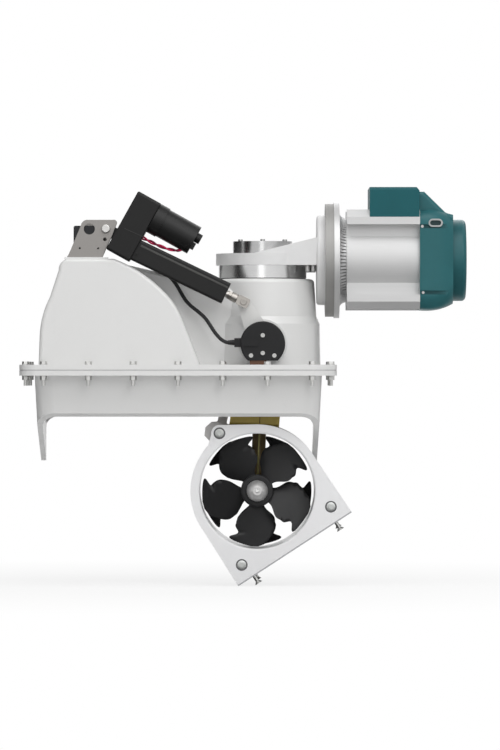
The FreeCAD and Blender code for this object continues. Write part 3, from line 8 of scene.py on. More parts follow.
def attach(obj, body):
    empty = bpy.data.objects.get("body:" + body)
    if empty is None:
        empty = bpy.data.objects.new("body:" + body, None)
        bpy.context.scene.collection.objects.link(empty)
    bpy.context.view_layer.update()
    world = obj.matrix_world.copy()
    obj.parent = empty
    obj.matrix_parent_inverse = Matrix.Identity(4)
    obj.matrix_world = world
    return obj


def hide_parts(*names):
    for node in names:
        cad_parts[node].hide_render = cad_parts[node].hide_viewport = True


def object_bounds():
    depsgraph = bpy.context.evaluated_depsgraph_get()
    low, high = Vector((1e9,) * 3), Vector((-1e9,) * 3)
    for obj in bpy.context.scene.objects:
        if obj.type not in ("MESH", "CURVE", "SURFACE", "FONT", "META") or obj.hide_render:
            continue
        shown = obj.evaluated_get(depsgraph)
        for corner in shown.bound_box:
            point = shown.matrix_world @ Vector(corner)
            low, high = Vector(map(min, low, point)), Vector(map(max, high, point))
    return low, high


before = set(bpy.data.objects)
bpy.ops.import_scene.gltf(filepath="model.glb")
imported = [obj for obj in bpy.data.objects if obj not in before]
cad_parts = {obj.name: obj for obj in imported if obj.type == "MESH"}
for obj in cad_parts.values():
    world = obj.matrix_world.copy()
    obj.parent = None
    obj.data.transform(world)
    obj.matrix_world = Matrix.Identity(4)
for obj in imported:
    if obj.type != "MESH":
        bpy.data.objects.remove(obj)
cadBox = [list(corner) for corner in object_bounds()]
print("frame loaded:", len(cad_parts), "nodes")

scene = bpy.context.scene
scene.view_settings.view_transform = "Standard"


# camera, as far off as the photograph's flat perspective asks

cameraView = {"place": (0.1554, -12.14, 0.0013), "lens": 266.0, "sensor": 36.0}

cameraData = bpy.data.cameras.new("camera")
cameraData.lens = cameraView["lens"]
cameraData.sensor_width = cameraView["sensor"]
cameraData.clip_end = 200.0
camera = bpy.data.objects.new("camera", cameraData)
camera.location = cameraView["place"]
camera.rotation_euler = (math.pi / 2, 0, 0)
scene.collection.objects.link(camera)
scene.camera = camera
print("camera placed")


# shader sums written as Python: the operators used here, and their reflected forms

class Amount:
    def __init__(self, finish, socket):
        self.finish = finish
        self.socket = socket

    def sum(self, operation, first, second):
        return self.finish.add("ShaderNodeMath", {"operation": operation}, {0: first, 1: second})

    def __add__(self, other):
        return self.sum("ADD", self, other)

    def __radd__(self, other):
        return self.sum("ADD", other, self)

    def __sub__(self, other):
        return self.sum("SUBTRACT", self, other)

    def __rsub__(self, other):
        return self.sum("SUBTRACT", other, self)

    def __mul__(self, other):
        return self.sum("MULTIPLY", self, other)

    def __rmul__(self, other):
        return self.sum("MULTIPLY", other, self)

    def __pow__(self, other):
        return self.sum("POWER", self, other)

    def __rpow__(self, other):
        return self.sum("POWER", other, self)

    def __gt__(self, other):
        return self.sum("GREATER_THAN", self, other)

    def __lt__(self, other):
        return self.sum("LESS_THAN", self, other)


def tint(red, green, blue):  # screen colour 0-255 to Blender's linear colour
    values = []
    for part in (red, green, blue):
        share = part / 255
        values.append(share / 12.92 if share <= 0.04045 else ((share + 0.055) / 1.055) ** 2.4)  # sRGB curve
    return (*values, 1.0)


def lighter(colour, factor):
    return (*[min(1.0, part * factor) for part in colour[:3]], 1.0)


class Finish:
    def __init__(self, name, world=None):
        self.material = world or bpy.data.materials.new(name)
        self.material.use_nodes = True
        self.tree = self.material.node_tree
        self.tree.nodes.clear()
        self.place = self.add("ShaderNodeTexCoord", output="Object")

    def add(self, kind, settings=None, sockets=None, output=0):
        node = self.tree.nodes.new(kind)
        for key, value in (settings or {}).items():
            setattr(node, key, value)
        for key, value in (sockets or {}).items():
            if isinstance(value, Amount):
                self.tree.links.new(value.socket, node.inputs[key])
            else:
                node.inputs[key].default_value = value
        return Amount(self, node.outputs[output]) if output is not None else node

    def mapped(self, scale, turn=(0, 0, 0), move=(0, 0, 0)):
        sockets = {"Vector": self.place, "Scale": scale, "Rotation": turn, "Location": move}
        return self.add("ShaderNodeMapping", {}, sockets)

    def noise(self, scale, detail=3.0, roughness=0.55, vector=None):
        sockets = {"Vector": vector or self.place, "Scale": scale, "Detail": detail, "Roughness": roughness}
        return self.add("ShaderNodeTexNoise", {}, sockets)

    def blend(self, factor, first, second):
        return self.add("ShaderNodeMix", {"data_type": "RGBA"}, {0: factor, 6: first, 7: second}, output=2)

    def mottled(self, pattern, colour, dark, light):
        return self.blend(pattern, lighter(colour, dark), lighter(colour, light))

    def relief(self, height, strength, distance, below=None):
        sockets = {"Height": height, "Strength": strength, "Distance": distance}
        if below is not None:
            sockets["Normal"] = below
        return self.add("ShaderNodeBump", {}, sockets)

    def coordinate(self, axis):
        return self.add("ShaderNodeSeparateXYZ", {}, {0: self.place}, output=axis)

    def shade(self, **sockets):
        names = {"colour": "Base Color", "roughness": "Roughness", "metallic": "Metallic", "normal": "Normal",
                 "coat": "Coat Weight", "coatRoughness": "Coat Roughness", "specular": "Specular IOR Level"}
        named = {names[key]: value for key, value in sockets.items()}
        shader = self.add("ShaderNodeBsdfPrincipled", {}, named)
        self.add("ShaderNodeOutputMaterial", {}, {0: shader}, output=None)
        return self.material

    def seen(self):  # 1 to the eye and in reflections, 0 for the light that falls on things
        rays = self.add("ShaderNodeLightPath", output=None).outputs
        total = Amount(self, rays["Is Camera Ray"]) + Amount(self, rays["Is Glossy Ray"])
        return total + Amount(self, rays["Is Transmission Ray"]) > 0.5


# finishes, one method of making each kind, with its own values for every node

def gelcoat(name, colour, seed=0.0, grime=0.06, peel=0.05, roughness=0.3):
    look = Finish(name)
    shifted = look.mapped((1, 1, 1), move=(seed, seed, 0))
    cloud = look.noise(scale=6.0, detail=4.0, roughness=0.6, vector=shifted)
    dust = look.noise(scale=55.0, detail=5.0, roughness=0.7)
    tone = look.mottled(cloud, colour, dark=0.97, light=1.02)
    tone = look.blend((dust > 0.63) * grime, tone, lighter(colour, 0.8))
    orangePeel = look.noise(scale=260.0, detail=2.0, roughness=0.5)
    waves = look.noise(scale=14.0, detail=1.0, roughness=0.4)
    normal = look.relief(orangePeel, strength=peel, distance=0.0004)
    normal = look.relief(waves, strength=peel * 2, distance=0.002, below=normal)
    return look.shade(colour=tone, roughness=roughness + cloud * 0.1, normal=normal, coat=0.35,
                      coatRoughness=0.12)


def castPaint(name, colour, grain=420.0, depth=0.25, roughness=0.38, metal=0.0):
    look = Finish(name)
    lumps = look.noise(scale=grain, detail=3.0, roughness=0.6)
    cloud = look.noise(scale=18.0, detail=4.0, roughness=0.6)
    tone = look.mottled(cloud, colour, dark=0.93, light=1.04)
    tone = look.blend((lumps < 0.36) * 0.1, tone, lighter(colour, 0.85))
    normal = look.relief(lumps, strength=depth, distance=0.0003)
    return look.shade(colour=tone, roughness=roughness + lumps * 0.15, metallic=metal, normal=normal)


def turnedMetal(name, colour, axis="Z", roughness=0.22, lines=320.0, depth=0.03, metal=1.0):
    look = Finish(name)
    along = {"X": (1, 0.01, 0.01), "Y": (0.01, 1, 0.01), "Z": (0.01, 0.01, 1)}[axis]
    passes = look.noise(scale=lines, detail=2.0, roughness=0.6, vector=look.mapped(along))
    stains = look.noise(scale=30.0, detail=4.0, roughness=0.6)
    tone = look.mottled(passes, colour, dark=0.93, light=1.04)
    tone = look.blend(stains * 0.25, tone, lighter(colour, 0.86))
    normal = look.relief(passes, strength=depth, distance=0.0002)
    return look.shade(colour=tone, roughness=roughness + stains * 0.08, metallic=metal, normal=normal)


def drawnMetal(name, colour, axis="X", roughness=0.3, lines=420.0, metal=1.0):
    look = Finish(name)
    across = {"X": (0.015, 1, 1), "Y": (1, 0.015, 1), "Z": (1, 1, 0.015)}[axis]
    streaks = look.noise(scale=lines, detail=3.0, roughness=0.6, vector=look.mapped(across))
    cloud = look.noise(scale=12.0, detail=3.0, roughness=0.5)
    tone = look.mottled(streaks, colour, dark=0.93, light=1.04)
    tone = look.blend(cloud * 0.2, tone, lighter(colour, 0.9))
    normal = look.relief(streaks, strength=0.03, distance=0.0002)
    return look.shade(colour=tone, roughness=roughness + streaks * 0.1, metallic=metal, normal=normal)


def mouldedPlastic(name, colour, grain=700.0, depth=0.08, roughness=0.42, wear=0.08, gloss=0.35):
    look = Finish(name)
    texture = look.noise(scale=grain, detail=2.0, roughness=0.5)
    cloud = look.noise(scale=22.0, detail=4.0, roughness=0.6)
    scuffs = look.noise(scale=70.0, detail=6.0, roughness=0.75, vector=look.mapped((1, 1, 0.25)))
    tone = look.mottled(cloud, colour, dark=0.9, light=1.1)
    scuffed = scuffs > 0.66
    tone = look.blend(scuffed * wear, tone, lighter(colour, 1.9))
    normal = look.relief(texture, strength=depth, distance=0.0003)
    polish = roughness + texture * 0.1 - scuffed * 0.06
    return look.shade(colour=tone, roughness=polish, normal=normal, specular=gloss)


def castBronze(name, colour, pale, metal=0.6):
    look = Finish(name)
    sand = look.noise(scale=380.0, detail=3.0, roughness=0.6)
    patina = look.noise(scale=26.0, detail=6.0, roughness=0.68)
    tone = look.blend(patina, colour, pale)
    tone = look.blend((sand < 0.38) * 0.15, tone, lighter(colour, 0.75))
    normal = look.relief(sand, strength=0.12, distance=0.0004)
    return look.shade(colour=tone, roughness=0.34 + patina * 0.16, metallic=metal, normal=normal)


def rubber(name, colour):
    look = Finish(name)
    grain = look.noise(scale=1900.0, detail=2.0, roughness=0.5)
    bloom = look.noise(scale=40.0, detail=5.0, roughness=0.7)
    tone = look.blend(bloom, colour, lighter(colour, 1.7))
    normal = look.relief(grain, strength=0.3, distance=0.0003)
    return look.shade(colour=tone, roughness=0.62 + bloom * 0.15, normal=normal)


def glassNylon(name, colour):  # moulded propeller blades
    look = Finish(name)
    strands = look.mapped((1, 1, 0.2), turn=(0, 0.6, 0.3))
    fibres = look.noise(scale=400.0, detail=3.0, roughness=0.6, vector=strands)
    cloud = look.noise(scale=30.0, detail=4.0, roughness=0.6)
    tone = look.mottled(cloud, colour, dark=0.85, light=1.25)
    tone = look.blend((fibres > 0.68) * 0.08, tone, lighter(colour, 1.6))
    normal = look.relief(fibres, strength=0.05, distance=0.0003)
    return look.shade(colour=tone, roughness=0.42 + cloud * 0.1, normal=normal, specular=0.3)


def anode(name, colour):
    look = Finish(name)
    crystals = look.add("ShaderNodeTexVoronoi", {}, {"Vector": look.place, "Scale": 170.0}, output="Distance")
    film = look.noise(scale=60.0, detail=5.0, roughness=0.7)
    tone = look.mottled(crystals, colour, dark=0.94, light=1.05)
    tone = look.blend(film * 0.2, tone, lighter(colour, 0.8))
    normal = look.relief(crystals, strength=0.03, distance=0.0004)
    return look.shade(colour=tone, roughness=0.32 + film * 0.1, metallic=0.5, normal=normal)


white = tint(226, 226, 225)
nodeFinishes = {
    "lower_housing": (gelcoat, {"colour": white, "seed": 1.0}),
    "upper_housing": (gelcoat, {"colour": white, "seed": 3.0}),
    "tunnel_plates": (gelcoat, {"colour": tint(240, 240, 241), "seed": 5.0, "peel": 0.03}),
    "tunnel_tube": (gelcoat, {"colour": tint(222, 223, 224), "seed": 7.0}),
    "base_plate": (gelcoat, {"colour": tint(176, 177, 179), "seed": 9.0}),
    "flange_gasket": (rubber, {"colour": tint(150, 150, 152)}),
    "tower_gasket": (rubber, {"colour": tint(52, 52, 54)}),
    "swing_seals": (rubber, {"colour": tint(34, 34, 35)}),
    "cable_grommet": (castPaint, {"colour": tint(176, 178, 178), "depth": 0.1}),
    "flange_bolts": (turnedMetal, {"colour": tint(198, 198, 196), "roughness": 0.28}),
    "flange_nuts": (turnedMetal, {"colour": tint(192, 192, 190), "roughness": 0.3}),
    "socket_screws": (turnedMetal, {"colour": tint(176, 176, 175), "roughness": 0.3}),
    "sensor_screws": (turnedMetal, {"colour": tint(186, 186, 184), "axis": "Y", "roughness": 0.4}),
    "hatch_screws": (turnedMetal, {"colour": tint(178, 178, 176), "roughness": 0.3}),
    "adapter_ring": (turnedMetal, {"colour": tint(206, 206, 206), "roughness": 0.2}),
    "top_cap": (turnedMetal, {"colour": tint(184, 184, 184), "roughness": 0.18}),
    "front_trunnion": (turnedMetal, {"colour": tint(190, 190, 190), "axis": "Y"}),
    "back_trunnion": (turnedMetal, {"colour": tint(190, 190, 190), "axis": "Y"}),
    "actuator_rod": (turnedMetal, {"colour": tint(196, 193, 188), "axis": "X", "roughness": 0.34}),
    "drive_elbow": (castPaint, {"colour": tint(228, 228, 228), "depth": 0.12}),
    "trunnion_cover": (castPaint, {"colour": tint(222, 222, 221), "depth": 0.12}),
    "swing_lever": (castPaint, {"colour": tint(224, 224, 222), "depth": 0.12}),
    "motor_flange": (turnedMetal, {
        "colour": tint(206, 206, 206), "axis": "X", "roughness": 0.46, "metal": 0.5}),
    "motor_adapter": (turnedMetal, {
        "colour": tint(158, 157, 155), "axis": "X", "roughness": 0.55, "metal": 0.45}),
    "link_rods": (castPaint, {"colour": tint(188, 186, 185), "depth": 0.12, "metal": 0.2}),
    "motor_body": (drawnMetal, {"colour": tint(208, 208, 208), "roughness": 0.5, "metal": 0.4}),
    "stator_core": (drawnMetal, {"colour": tint(52, 51, 50), "axis": "Y", "roughness": 0.42}),
    "motor_rotor": (turnedMetal, {"colour": tint(150, 148, 146), "axis": "X"}),
    "drive_shaft": (turnedMetal, {"colour": tint(158, 157, 155)}),
    "leg_shaft": (turnedMetal, {"colour": tint(158, 157, 155)}),
    "front_prop_shaft": (turnedMetal, {"colour": tint(170, 169, 168), "axis": "Y"}),
    "back_prop_shaft": (turnedMetal, {"colour": tint(168, 168, 167), "axis": "Y"}),
    "drive_bearing": (turnedMetal, {"colour": tint(188, 188, 190), "roughness": 0.16}),
    "pinion_bearing": (turnedMetal, {"colour": tint(186, 186, 188), "axis": "X", "roughness": 0.16}),
    "motor_bearings": (turnedMetal, {"colour": tint(187, 187, 189), "axis": "X", "roughness": 0.16}),
    "leg_bearings": (turnedMetal, {"colour": tint(185, 185, 187), "roughness": 0.17}),
    "prop_bearings": (turnedMetal, {"colour": tint(186, 186, 189), "axis": "Y", "roughness": 0.17}),
    "motor_end_cap": (mouldedPlastic, {"colour": tint(40, 98, 103), "roughness": 0.34, "gloss": 0.25}),
    "motor_rear_cover": (mouldedPlastic, {"colour": tint(36, 92, 97), "roughness": 0.36, "gloss": 0.25}),
    "controller_box": (mouldedPlastic, {"colour": tint(24, 88, 94), "roughness": 0.4, "gloss": 0.2}),
    "actuator_gear_housing": (mouldedPlastic, {"colour": tint(24, 24, 24), "gloss": 0.25}),
    "actuator_tube": (mouldedPlastic, {"colour": tint(24, 24, 24), "gloss": 0.25, "roughness": 0.38}),
    "actuator_motor": (mouldedPlastic, {"colour": tint(29, 29, 29), "gloss": 0.25, "roughness": 0.38}),
    "control_box": (mouldedPlastic, {"colour": tint(38, 39, 41), "gloss": 0.25}),
    "sensor_housing": (mouldedPlastic, {"colour": tint(34, 34, 35), "gloss": 0.22, "roughness": 0.46}),
    "actuator_leads": (rubber, {"colour": tint(150, 28, 62)}),  # replaced
    "sensor_cable": (rubber, {"colour": tint(26, 26, 27)}),  # replaced
    "swing_bearings": (castBronze, {"colour": tint(140, 104, 48), "pale": tint(176, 138, 70)}),
    "leg_yoke": (castBronze, {"colour": tint(168, 146, 70), "pale": tint(188, 168, 84), "metal": 0.3}),
    "gear_leg": (castBronze, {"colour": tint(112, 94, 62), "pale": tint(132, 114, 76), "metal": 0.4}),
    "link_anchor_pins": (drawnMetal, {"colour": tint(188, 188, 186), "axis": "Y"}),
    "bracket_pin": (drawnMetal, {"colour": tint(192, 191, 189), "axis": "Y"}),
    "actuator_bracket": (drawnMetal, {"colour": tint(152, 149, 146), "axis": "X", "roughness": 0.5}),
    "tie_rods": (turnedMetal, {"colour": tint(176, 178, 177), "axis": "Y", "roughness": 0.3}),
    "rod_end": (turnedMetal, {"colour": tint(214, 213, 210), "axis": "X", "roughness": 0.2}),  # replaced
    "sensor_foot": (turnedMetal, {"colour": tint(104, 76, 60), "roughness": 0.6, "metal": 0.5}),
    # the back propeller darker than the front one: painted shade
    "front_propeller": (glassNylon, {"colour": tint(30, 30, 31)}),  # replaced
    "back_propeller": (glassNylon, {"colour": tint(27, 27, 28)}),  # replaced
    "front_cone": (anode, {"colour": tint(208, 207, 206)}),
    "back_cone": (anode, {"colour": tint(206, 206, 205)}),
}

for node, (kind, values) in nodeFinishes.items():
    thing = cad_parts[node]
    thing.data.materials.clear()
    thing.data.materials.append(kind(node + "_finish", **values))
leftOver = sorted(set(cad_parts) - set(nodeFinishes))
print("finishes laid on", len(nodeFinishes), "nodes; left over:", leftOver)


# cable from the swing sensor up to the control box: a limp signal cable

sensorCableRun = {
    "radius": 0.004,
    "length": 0.464,
    "rounds": 6,
    "colour": tint(26, 26, 27),
    "points": [
        (0.1214, -0.1485, 0.0716), (0.110, -0.1485, 0.0703), (0.0955, -0.147, 0.0752),
        (0.0812, -0.144, 0.0903), (0.0703, -0.140, 0.107), (0.059, -0.1355, 0.1245),
        (0.0435, -0.129, 0.1385), (0.028, -0.122, 0.150), (0.0155, -0.116, 0.163),
        (0.006, -0.111, 0.179), (-0.0035, -0.106, 0.196), (-0.016, -0.100, 0.213),
        (-0.042, -0.095, 0.233), (-0.080, -0.085, 0.252), (-0.120, -0.066, 0.268),
        (-0.160, -0.056, 0.284), (-0.190, -0.062, 0.294), (-0.205, -0.084, 0.297),
        (-0.205, -0.114, 0.297),
    ],
}


def roundWire(name, points, radius, rounds, material):
    curve = bpy.data.curves.new(name, "CURVE")
    curve.dimensions = "3D"
    curve.bevel_depth = radius
    curve.bevel_resolution = rounds
    curve.use_fill_caps = True
    curve.resolution_u = 12
    spline = curve.splines.new("NURBS")
    spline.points.add(len(points) - 1)
    for spot, point in zip(spline.points, points):
        spot.co = (*point, 1.0)
    spline.order_u = 3
    spline.use_endpoint_u = True
    curve.materials.append(material)
    wire = bpy.data.objects.new(name, curve)
    scene.collection.objects.link(wire)
    return wire


sensorCable = roundWire(
    "sensorCable", sensorCableRun["points"], sensorCableRun["radius"], sensorCableRun["rounds"],
    rubber("sensorCable_finish", sensorCableRun["colour"]),
)
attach(sensorCable, "root")
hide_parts("sensor_cable")
2 * sensorCableRun["radius"]
print("sensor cable laid")


# making of the small turned and moulded pieces

making = {"weld": 1e-6, "sharpFrom": 35}


def finished(name, build, body, material, smooth=True):  # mesh to an object that rides its body
    bmesh.ops.remove_doubles(build, verts=build.verts, dist=making["weld"])
    bmesh.ops.recalc_face_normals(build, faces=build.faces)
    for face in build.faces:
        face.smooth = smooth
    mesh = bpy.data.meshes.new(name)
    build.to_mesh(mesh)
    build.free()
    mesh.materials.append(material)
    mesh.set_sharp_from_angle(angle=math.radians(making["sharpFrom"]))
    piece = bpy.data.objects.new(name, mesh)
    scene.collection.objects.link(piece)
    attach(piece, body)
    return piece


def spun(build, profile, centre, direction, closed=False, steps=64):  # profile of (radius, height) pairs
    spots = [build.verts.new((radius, 0, along)) for radius, along in profile]
    edges = [build.edges.new(pair) for pair in zip(spots, spots[1:])]
    if closed:
        edges.append(build.edges.new((spots[-1], spots[0])))
    before = set(build.verts)
    bmesh.ops.spin(build, geom=spots + edges, cent=(0, 0, 0), axis=(0, 0, 1), angle=2 * math.pi,
                   steps=steps, use_merge=True)
    made = spots + [spot for spot in build.verts if spot not in before]
    turn = Vector(direction).to_track_quat("Z", "X").to_matrix().to_4x4()
    bmesh.ops.transform(build, verts=made, matrix=Matrix.Translation(centre) @ turn)


def block(build, size):
    corners = bmesh.ops.create_cube(build, size=1.0)["verts"]
    bmesh.ops.scale(build, verts=corners, vec=size)
    return corners


def cylinder(build, sides, radius, length, place):
    corners = bmesh.ops.create_cone(build, cap_ends=True, segments=sides, radius1=radius, radius2=radius,
                                    depth=length)["verts"]
    bmesh.ops.transform(build, verts=corners, matrix=place)


def rounded(build, edges, offset, segments):
    bmesh.ops.bevel(build, geom=edges, offset=offset, offset_type="OFFSET", segments=segments, profile=0.5,
                    affect="EDGES", material=-1)


# strain relief where the cable leaves the sensor

strainRelief = {
    "place": sensorCableRun["points"][0], "way": (-1, 0, 0), "ribs": 4, "pitch": 0.0036, "bore": 0.0039,
    "wide": 0.0062, "narrow": 0.0050, "ribEnd": 0.0026, "ribTaper": 0.97, "grooveFrom": 0.003, "groove": 0.86,
    "tuckedIn": 0.001, "colour": tint(30, 30, 31),
}

reliefProfile = [(strainRelief["bore"], -strainRelief["tuckedIn"])]
for rib in range(strainRelief["ribs"]):
    share = rib / (strainRelief["ribs"] - 1)
    radius = strainRelief["wide"] * (1 - share) + strainRelief["narrow"] * share
    start = rib * strainRelief["pitch"]
    reliefProfile += [
        (radius, start),
        (radius * strainRelief["ribTaper"], start + strainRelief["ribEnd"]),
        (radius * strainRelief["groove"], start + strainRelief["grooveFrom"]),
    ]
reliefProfile.append((strainRelief["bore"], strainRelief["ribs"] * strainRelief["pitch"]))
build = bmesh.new()
spun(build, reliefProfile, strainRelief["place"], strainRelief["way"], closed=True)
finished("cableStrainRelief", build, "root",
         mouldedPlastic("strainRelief_finish", strainRelief["colour"]))
print("strain relief turned")


# ram's own frame: X runs down along the ram from the rear pin, Z square to it

ram = {"pin": (-0.1563, -0.149, 0.3174), "offset": 0.0129, "slope": 25.77, "motorLean": 3.4, "eyeAt": 0.3368}


def ramPlace(lean=0.0, offset=ram["offset"]):
    turn = Matrix.Rotation(math.radians(ram["slope"] + lean), 4, "Y")
    return Matrix.Translation(ram["pin"]) @ turn @ Matrix.Translation((0, 0, -offset))


# rod end: lock nut, socket, flat eye with rounded corners and the head of its pin

rodEnd = {
    "nutFrom": -0.037, "nutTo": -0.030, "nutRadius": 0.0105,
    "socketTo": -0.013, "socketRadius": 0.0098, "socketEdge": 0.001, "collar": 0.0035, "step": 0.0026,
    "stepDeep": 0.0014,
    "eyeFrom": -0.015, "eyeTo": 0.0125, "eyeHalfHeight": 0.0108, "eyeHalfWidth": 0.0115, "eyeCorner": 0.0045,
    "pinRadius": 0.0068, "pinProud": 0.003, "pinEdge": 0.0008, "recess": 0.0028, "recessFloor": 0.001,
    "colour": tint(172, 168, 163),
}

build = bmesh.new()
nutMiddle = Matrix.Translation(((rodEnd["nutFrom"] + rodEnd["nutTo"]) / 2, 0, 0))
nutPlace = nutMiddle @ Matrix.Rotation(math.pi / 2, 4, "Y")
cylinder(build, sides=6, radius=rodEnd["nutRadius"], length=rodEnd["nutTo"] - rodEnd["nutFrom"],
         place=nutPlace)
spun(build, [
    (0, rodEnd["nutTo"]), (rodEnd["socketRadius"] - rodEnd["socketEdge"], rodEnd["nutTo"]),
    (rodEnd["socketRadius"], rodEnd["nutTo"] + rodEnd["socketEdge"]),
    (rodEnd["socketRadius"], rodEnd["socketTo"] - rodEnd["collar"]),
    (rodEnd["socketRadius"] - rodEnd["stepDeep"], rodEnd["socketTo"] - rodEnd["step"]),
    (rodEnd["socketRadius"] - rodEnd["stepDeep"], rodEnd["socketTo"]), (0, rodEnd["socketTo"]),
], (0, 0, 0), (1, 0, 0))
eyeLength = rodEnd["eyeTo"] - rodEnd["eyeFrom"]
eye = block(build, (eyeLength, 2 * rodEnd["eyeHalfWidth"], 2 * rodEnd["eyeHalfHeight"]))
bmesh.ops.translate(build, verts=eye, vec=((rodEnd["eyeFrom"] + rodEnd["eyeTo"]) / 2, 0, 0))
eyeCorners = [edge for edge in build.edges if edge.verts[0] in eye and edge.verts[1] in eye
              and abs(edge.verts[0].co.y - edge.verts[1].co.y) > rodEnd["eyeHalfWidth"]]
rounded(build, eyeCorners, rodEnd["eyeCorner"], segments=5)
spun(build, [
    (0, rodEnd["recessFloor"]), (rodEnd["recess"], rodEnd["recessFloor"]),
    (rodEnd["recess"], rodEnd["pinProud"]), (rodEnd["pinRadius"] - rodEnd["pinEdge"], rodEnd["pinProud"]),
    (rodEnd["pinRadius"], rodEnd["pinProud"] - rodEnd["pinEdge"]), (rodEnd["pinRadius"], 0),
], (0, -rodEnd["eyeHalfWidth"], 0), (0, -1, 0))
bmesh.ops.transform(build, verts=build.verts, matrix=ramPlace() @ Matrix.Translation((ram["eyeAt"], 0, 0)))
rodEndPiece = finished("rodEndEye", build, "ram",
                       turnedMetal("rodEndEye_finish", rodEnd["colour"], axis="X", roughness=0.42))
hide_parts("rod_end")
print("rod end made")


# seam and screw on the near face of the ram's gear housing

housingMarks = {
    "from": (-0.1155, 0.3178), "to": (-0.0722, 0.2983), "face": -0.178, "wide": 0.0008, "proud": 0.0004,
    "screw": (-0.0895, 0.2636), "screwRadius": 0.0026, "screwProud": 0.0006, "screwCrown": 0.0008,
    "recess": 0.0012, "recessFloor": 0.0002, "sunk": 0.001,
    "seamColour": tint(58, 58, 58), "screwColour": tint(14, 14, 14),
}

left, high = housingMarks["from"]
right, low = housingMarks["to"]
build = bmesh.new()
seam = block(build, (math.hypot(right - left, low - high), 2 * housingMarks["proud"], housingMarks["wide"]))
seamPlace = Matrix.Translation(((left + right) / 2, housingMarks["face"], (low + high) / 2))
seamTurn = Matrix.Rotation(math.atan2(high - low, right - left), 4, "Y")
bmesh.ops.transform(build, verts=seam, matrix=seamPlace @ seamTurn)
finished("gearHousingSeam", build, "actuator",
         mouldedPlastic("gearHousingSeam_finish", housingMarks["seamColour"]), smooth=False)
build = bmesh.new()
spun(build, [
    (0, housingMarks["recessFloor"]), (housingMarks["recess"], housingMarks["recessFloor"]),
    (housingMarks["recess"], housingMarks["screwCrown"]),
    (housingMarks["screwRadius"], housingMarks["screwProud"]),
    (housingMarks["screwRadius"], -housingMarks["sunk"]),
], (housingMarks["screw"][0], housingMarks["face"], housingMarks["screw"][1]), (0, -1, 0), steps=24)
finished("gearHousingScrew", build, "actuator",
         mouldedPlastic("gearHousingScrew_finish", housingMarks["screwColour"]))
print("gear housing marked")


# raised rib along the tube's near and far faces, lighter than the tube: a painted highlight line along the
# tube's upper edge

tubeHighlightRib = {"from": 0.084, "to": 0.2935, "above": 0.0128, "half": 0.0022, "face": 0.024, "proud": 0.0006,
           "edge": 0.0005, "colour": tint(70, 70, 68)}

build = bmesh.new()
for hand in (-1, 1):
    rib = block(build, (tubeHighlightRib["to"] - tubeHighlightRib["from"], 4 * tubeHighlightRib["proud"], 2 * tubeHighlightRib["half"]))
    bmesh.ops.translate(build, verts=rib, vec=(
        (tubeHighlightRib["from"] + tubeHighlightRib["to"]) / 2, hand * (tubeHighlightRib["face"] - tubeHighlightRib["proud"]), tubeHighlightRib["above"]))
rounded(build, list(build.edges), tubeHighlightRib["edge"], segments=3)
bmesh.ops.transform(build, verts=build.verts, matrix=ramPlace())
finished("tubeHighlightRib", build, "actuator",
         mouldedPlastic("tubeRib_finish", tubeHighlightRib["colour"], roughness=0.3))
print("tube ribbed")


# twisted pair from the ram's motor to its gear housing

leads = {
    "path": [(0.072, 0.0215), (0.090, 0.0225), (0.112, 0.0235), (0.135, 0.0265), (0.155, 0.033),
             (0.164, 0.0385), (0.168, 0.047)],
    "radius": 0.0021, "wideTwist": 0.0025, "endTwist": 0.0011, "turns": 3.0, "steps": 61, "rounds": 4,
    "colours": {"leadRed": tint(206, 30, 84), "leadMaroon": tint(128, 24, 56)},
}

leadPlace = ramPlace(ram["motorLean"], 0.0)
for phase, (name, colour) in zip((0.0, math.pi), leads["colours"].items()):
    points = []
    for step in range(leads["steps"]):
        gone = step / (leads["steps"] - 1)
        share = gone * (len(leads["path"]) - 1)
        stretch = min(int(share), len(leads["path"]) - 2)
        before, after = leads["path"][stretch], leads["path"][stretch + 1]
        along = before[0] + (after[0] - before[0]) * (share - stretch)
        above = before[1] + (after[1] - before[1]) * (share - stretch)
        turn = phase + 2 * math.pi * leads["turns"] * gone
        twist = leads["wideTwist"] * (1 - gone) + leads["endTwist"] * gone
        points.append(leadPlace @ Vector((along, twist * math.cos(turn), above + twist * math.sin(turn))))
    lead = roundWire(name, points, leads["radius"], leads["rounds"], rubber(name + "_finish", colour))
    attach(lead, "actuator")
    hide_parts("actuator_leads")
print("leads twisted")


# tie-rod ends on the tunnel's plates: a silver cap in a dark ring, at both mouths

tieEnds = {
    "spots": [(0.0891, -0.1251), (0.3309, -0.2845), (0.1374, -0.4107)], "face": 0.12, "sunk": 0.0008,
    "ringInner": 0.0099, "ringOuter": 0.0127, "ringInnerProud": 0.0002, "ringOuterProud": 0.0003,
    "capRadius": 0.0098, "capProud": 0.0006, "capEdge": 0.0012, "capDrop": 0.0002,
    "crown": 0.0052, "crownFoot": 0.0058, "crownProud": 0.0012,
    "ringColour": tint(84, 84, 86), "capColour": tint(206, 208, 206),
}

rings = bmesh.new()
caps = bmesh.new()
for hand in (-1, 1):
    for x, z in tieEnds["spots"]:
        centre = (x, hand * tieEnds["face"], z)
        out = (0, hand, 0)
        spun(rings, [
            (tieEnds["ringInner"], -tieEnds["sunk"]), (tieEnds["ringInner"], tieEnds["ringInnerProud"]),
            (tieEnds["ringOuter"], tieEnds["ringOuterProud"]), (tieEnds["ringOuter"], -tieEnds["sunk"]),
        ], centre, out, closed=True)
        spun(caps, [
            (0, tieEnds["crownProud"]), (tieEnds["crown"], tieEnds["crownProud"]),
            (tieEnds["crownFoot"], tieEnds["capProud"]),
            (tieEnds["capRadius"] - tieEnds["capEdge"], tieEnds["capProud"]),
            (tieEnds["capRadius"], -tieEnds["capDrop"]), (tieEnds["capRadius"], -tieEnds["sunk"]),
        ], centre, out)
finished("tieRodRings", rings, "tunnel", rubber("tieRodRings_finish", tieEnds["ringColour"]))
finished("tieRodCaps", caps, "tunnel",
         turnedMetal("tieRodCaps_finish", tieEnds["capColour"], axis="Y", roughness=0.5), smooth=False)
print("tie-rod ends turned")


# screws in the anodes' tips

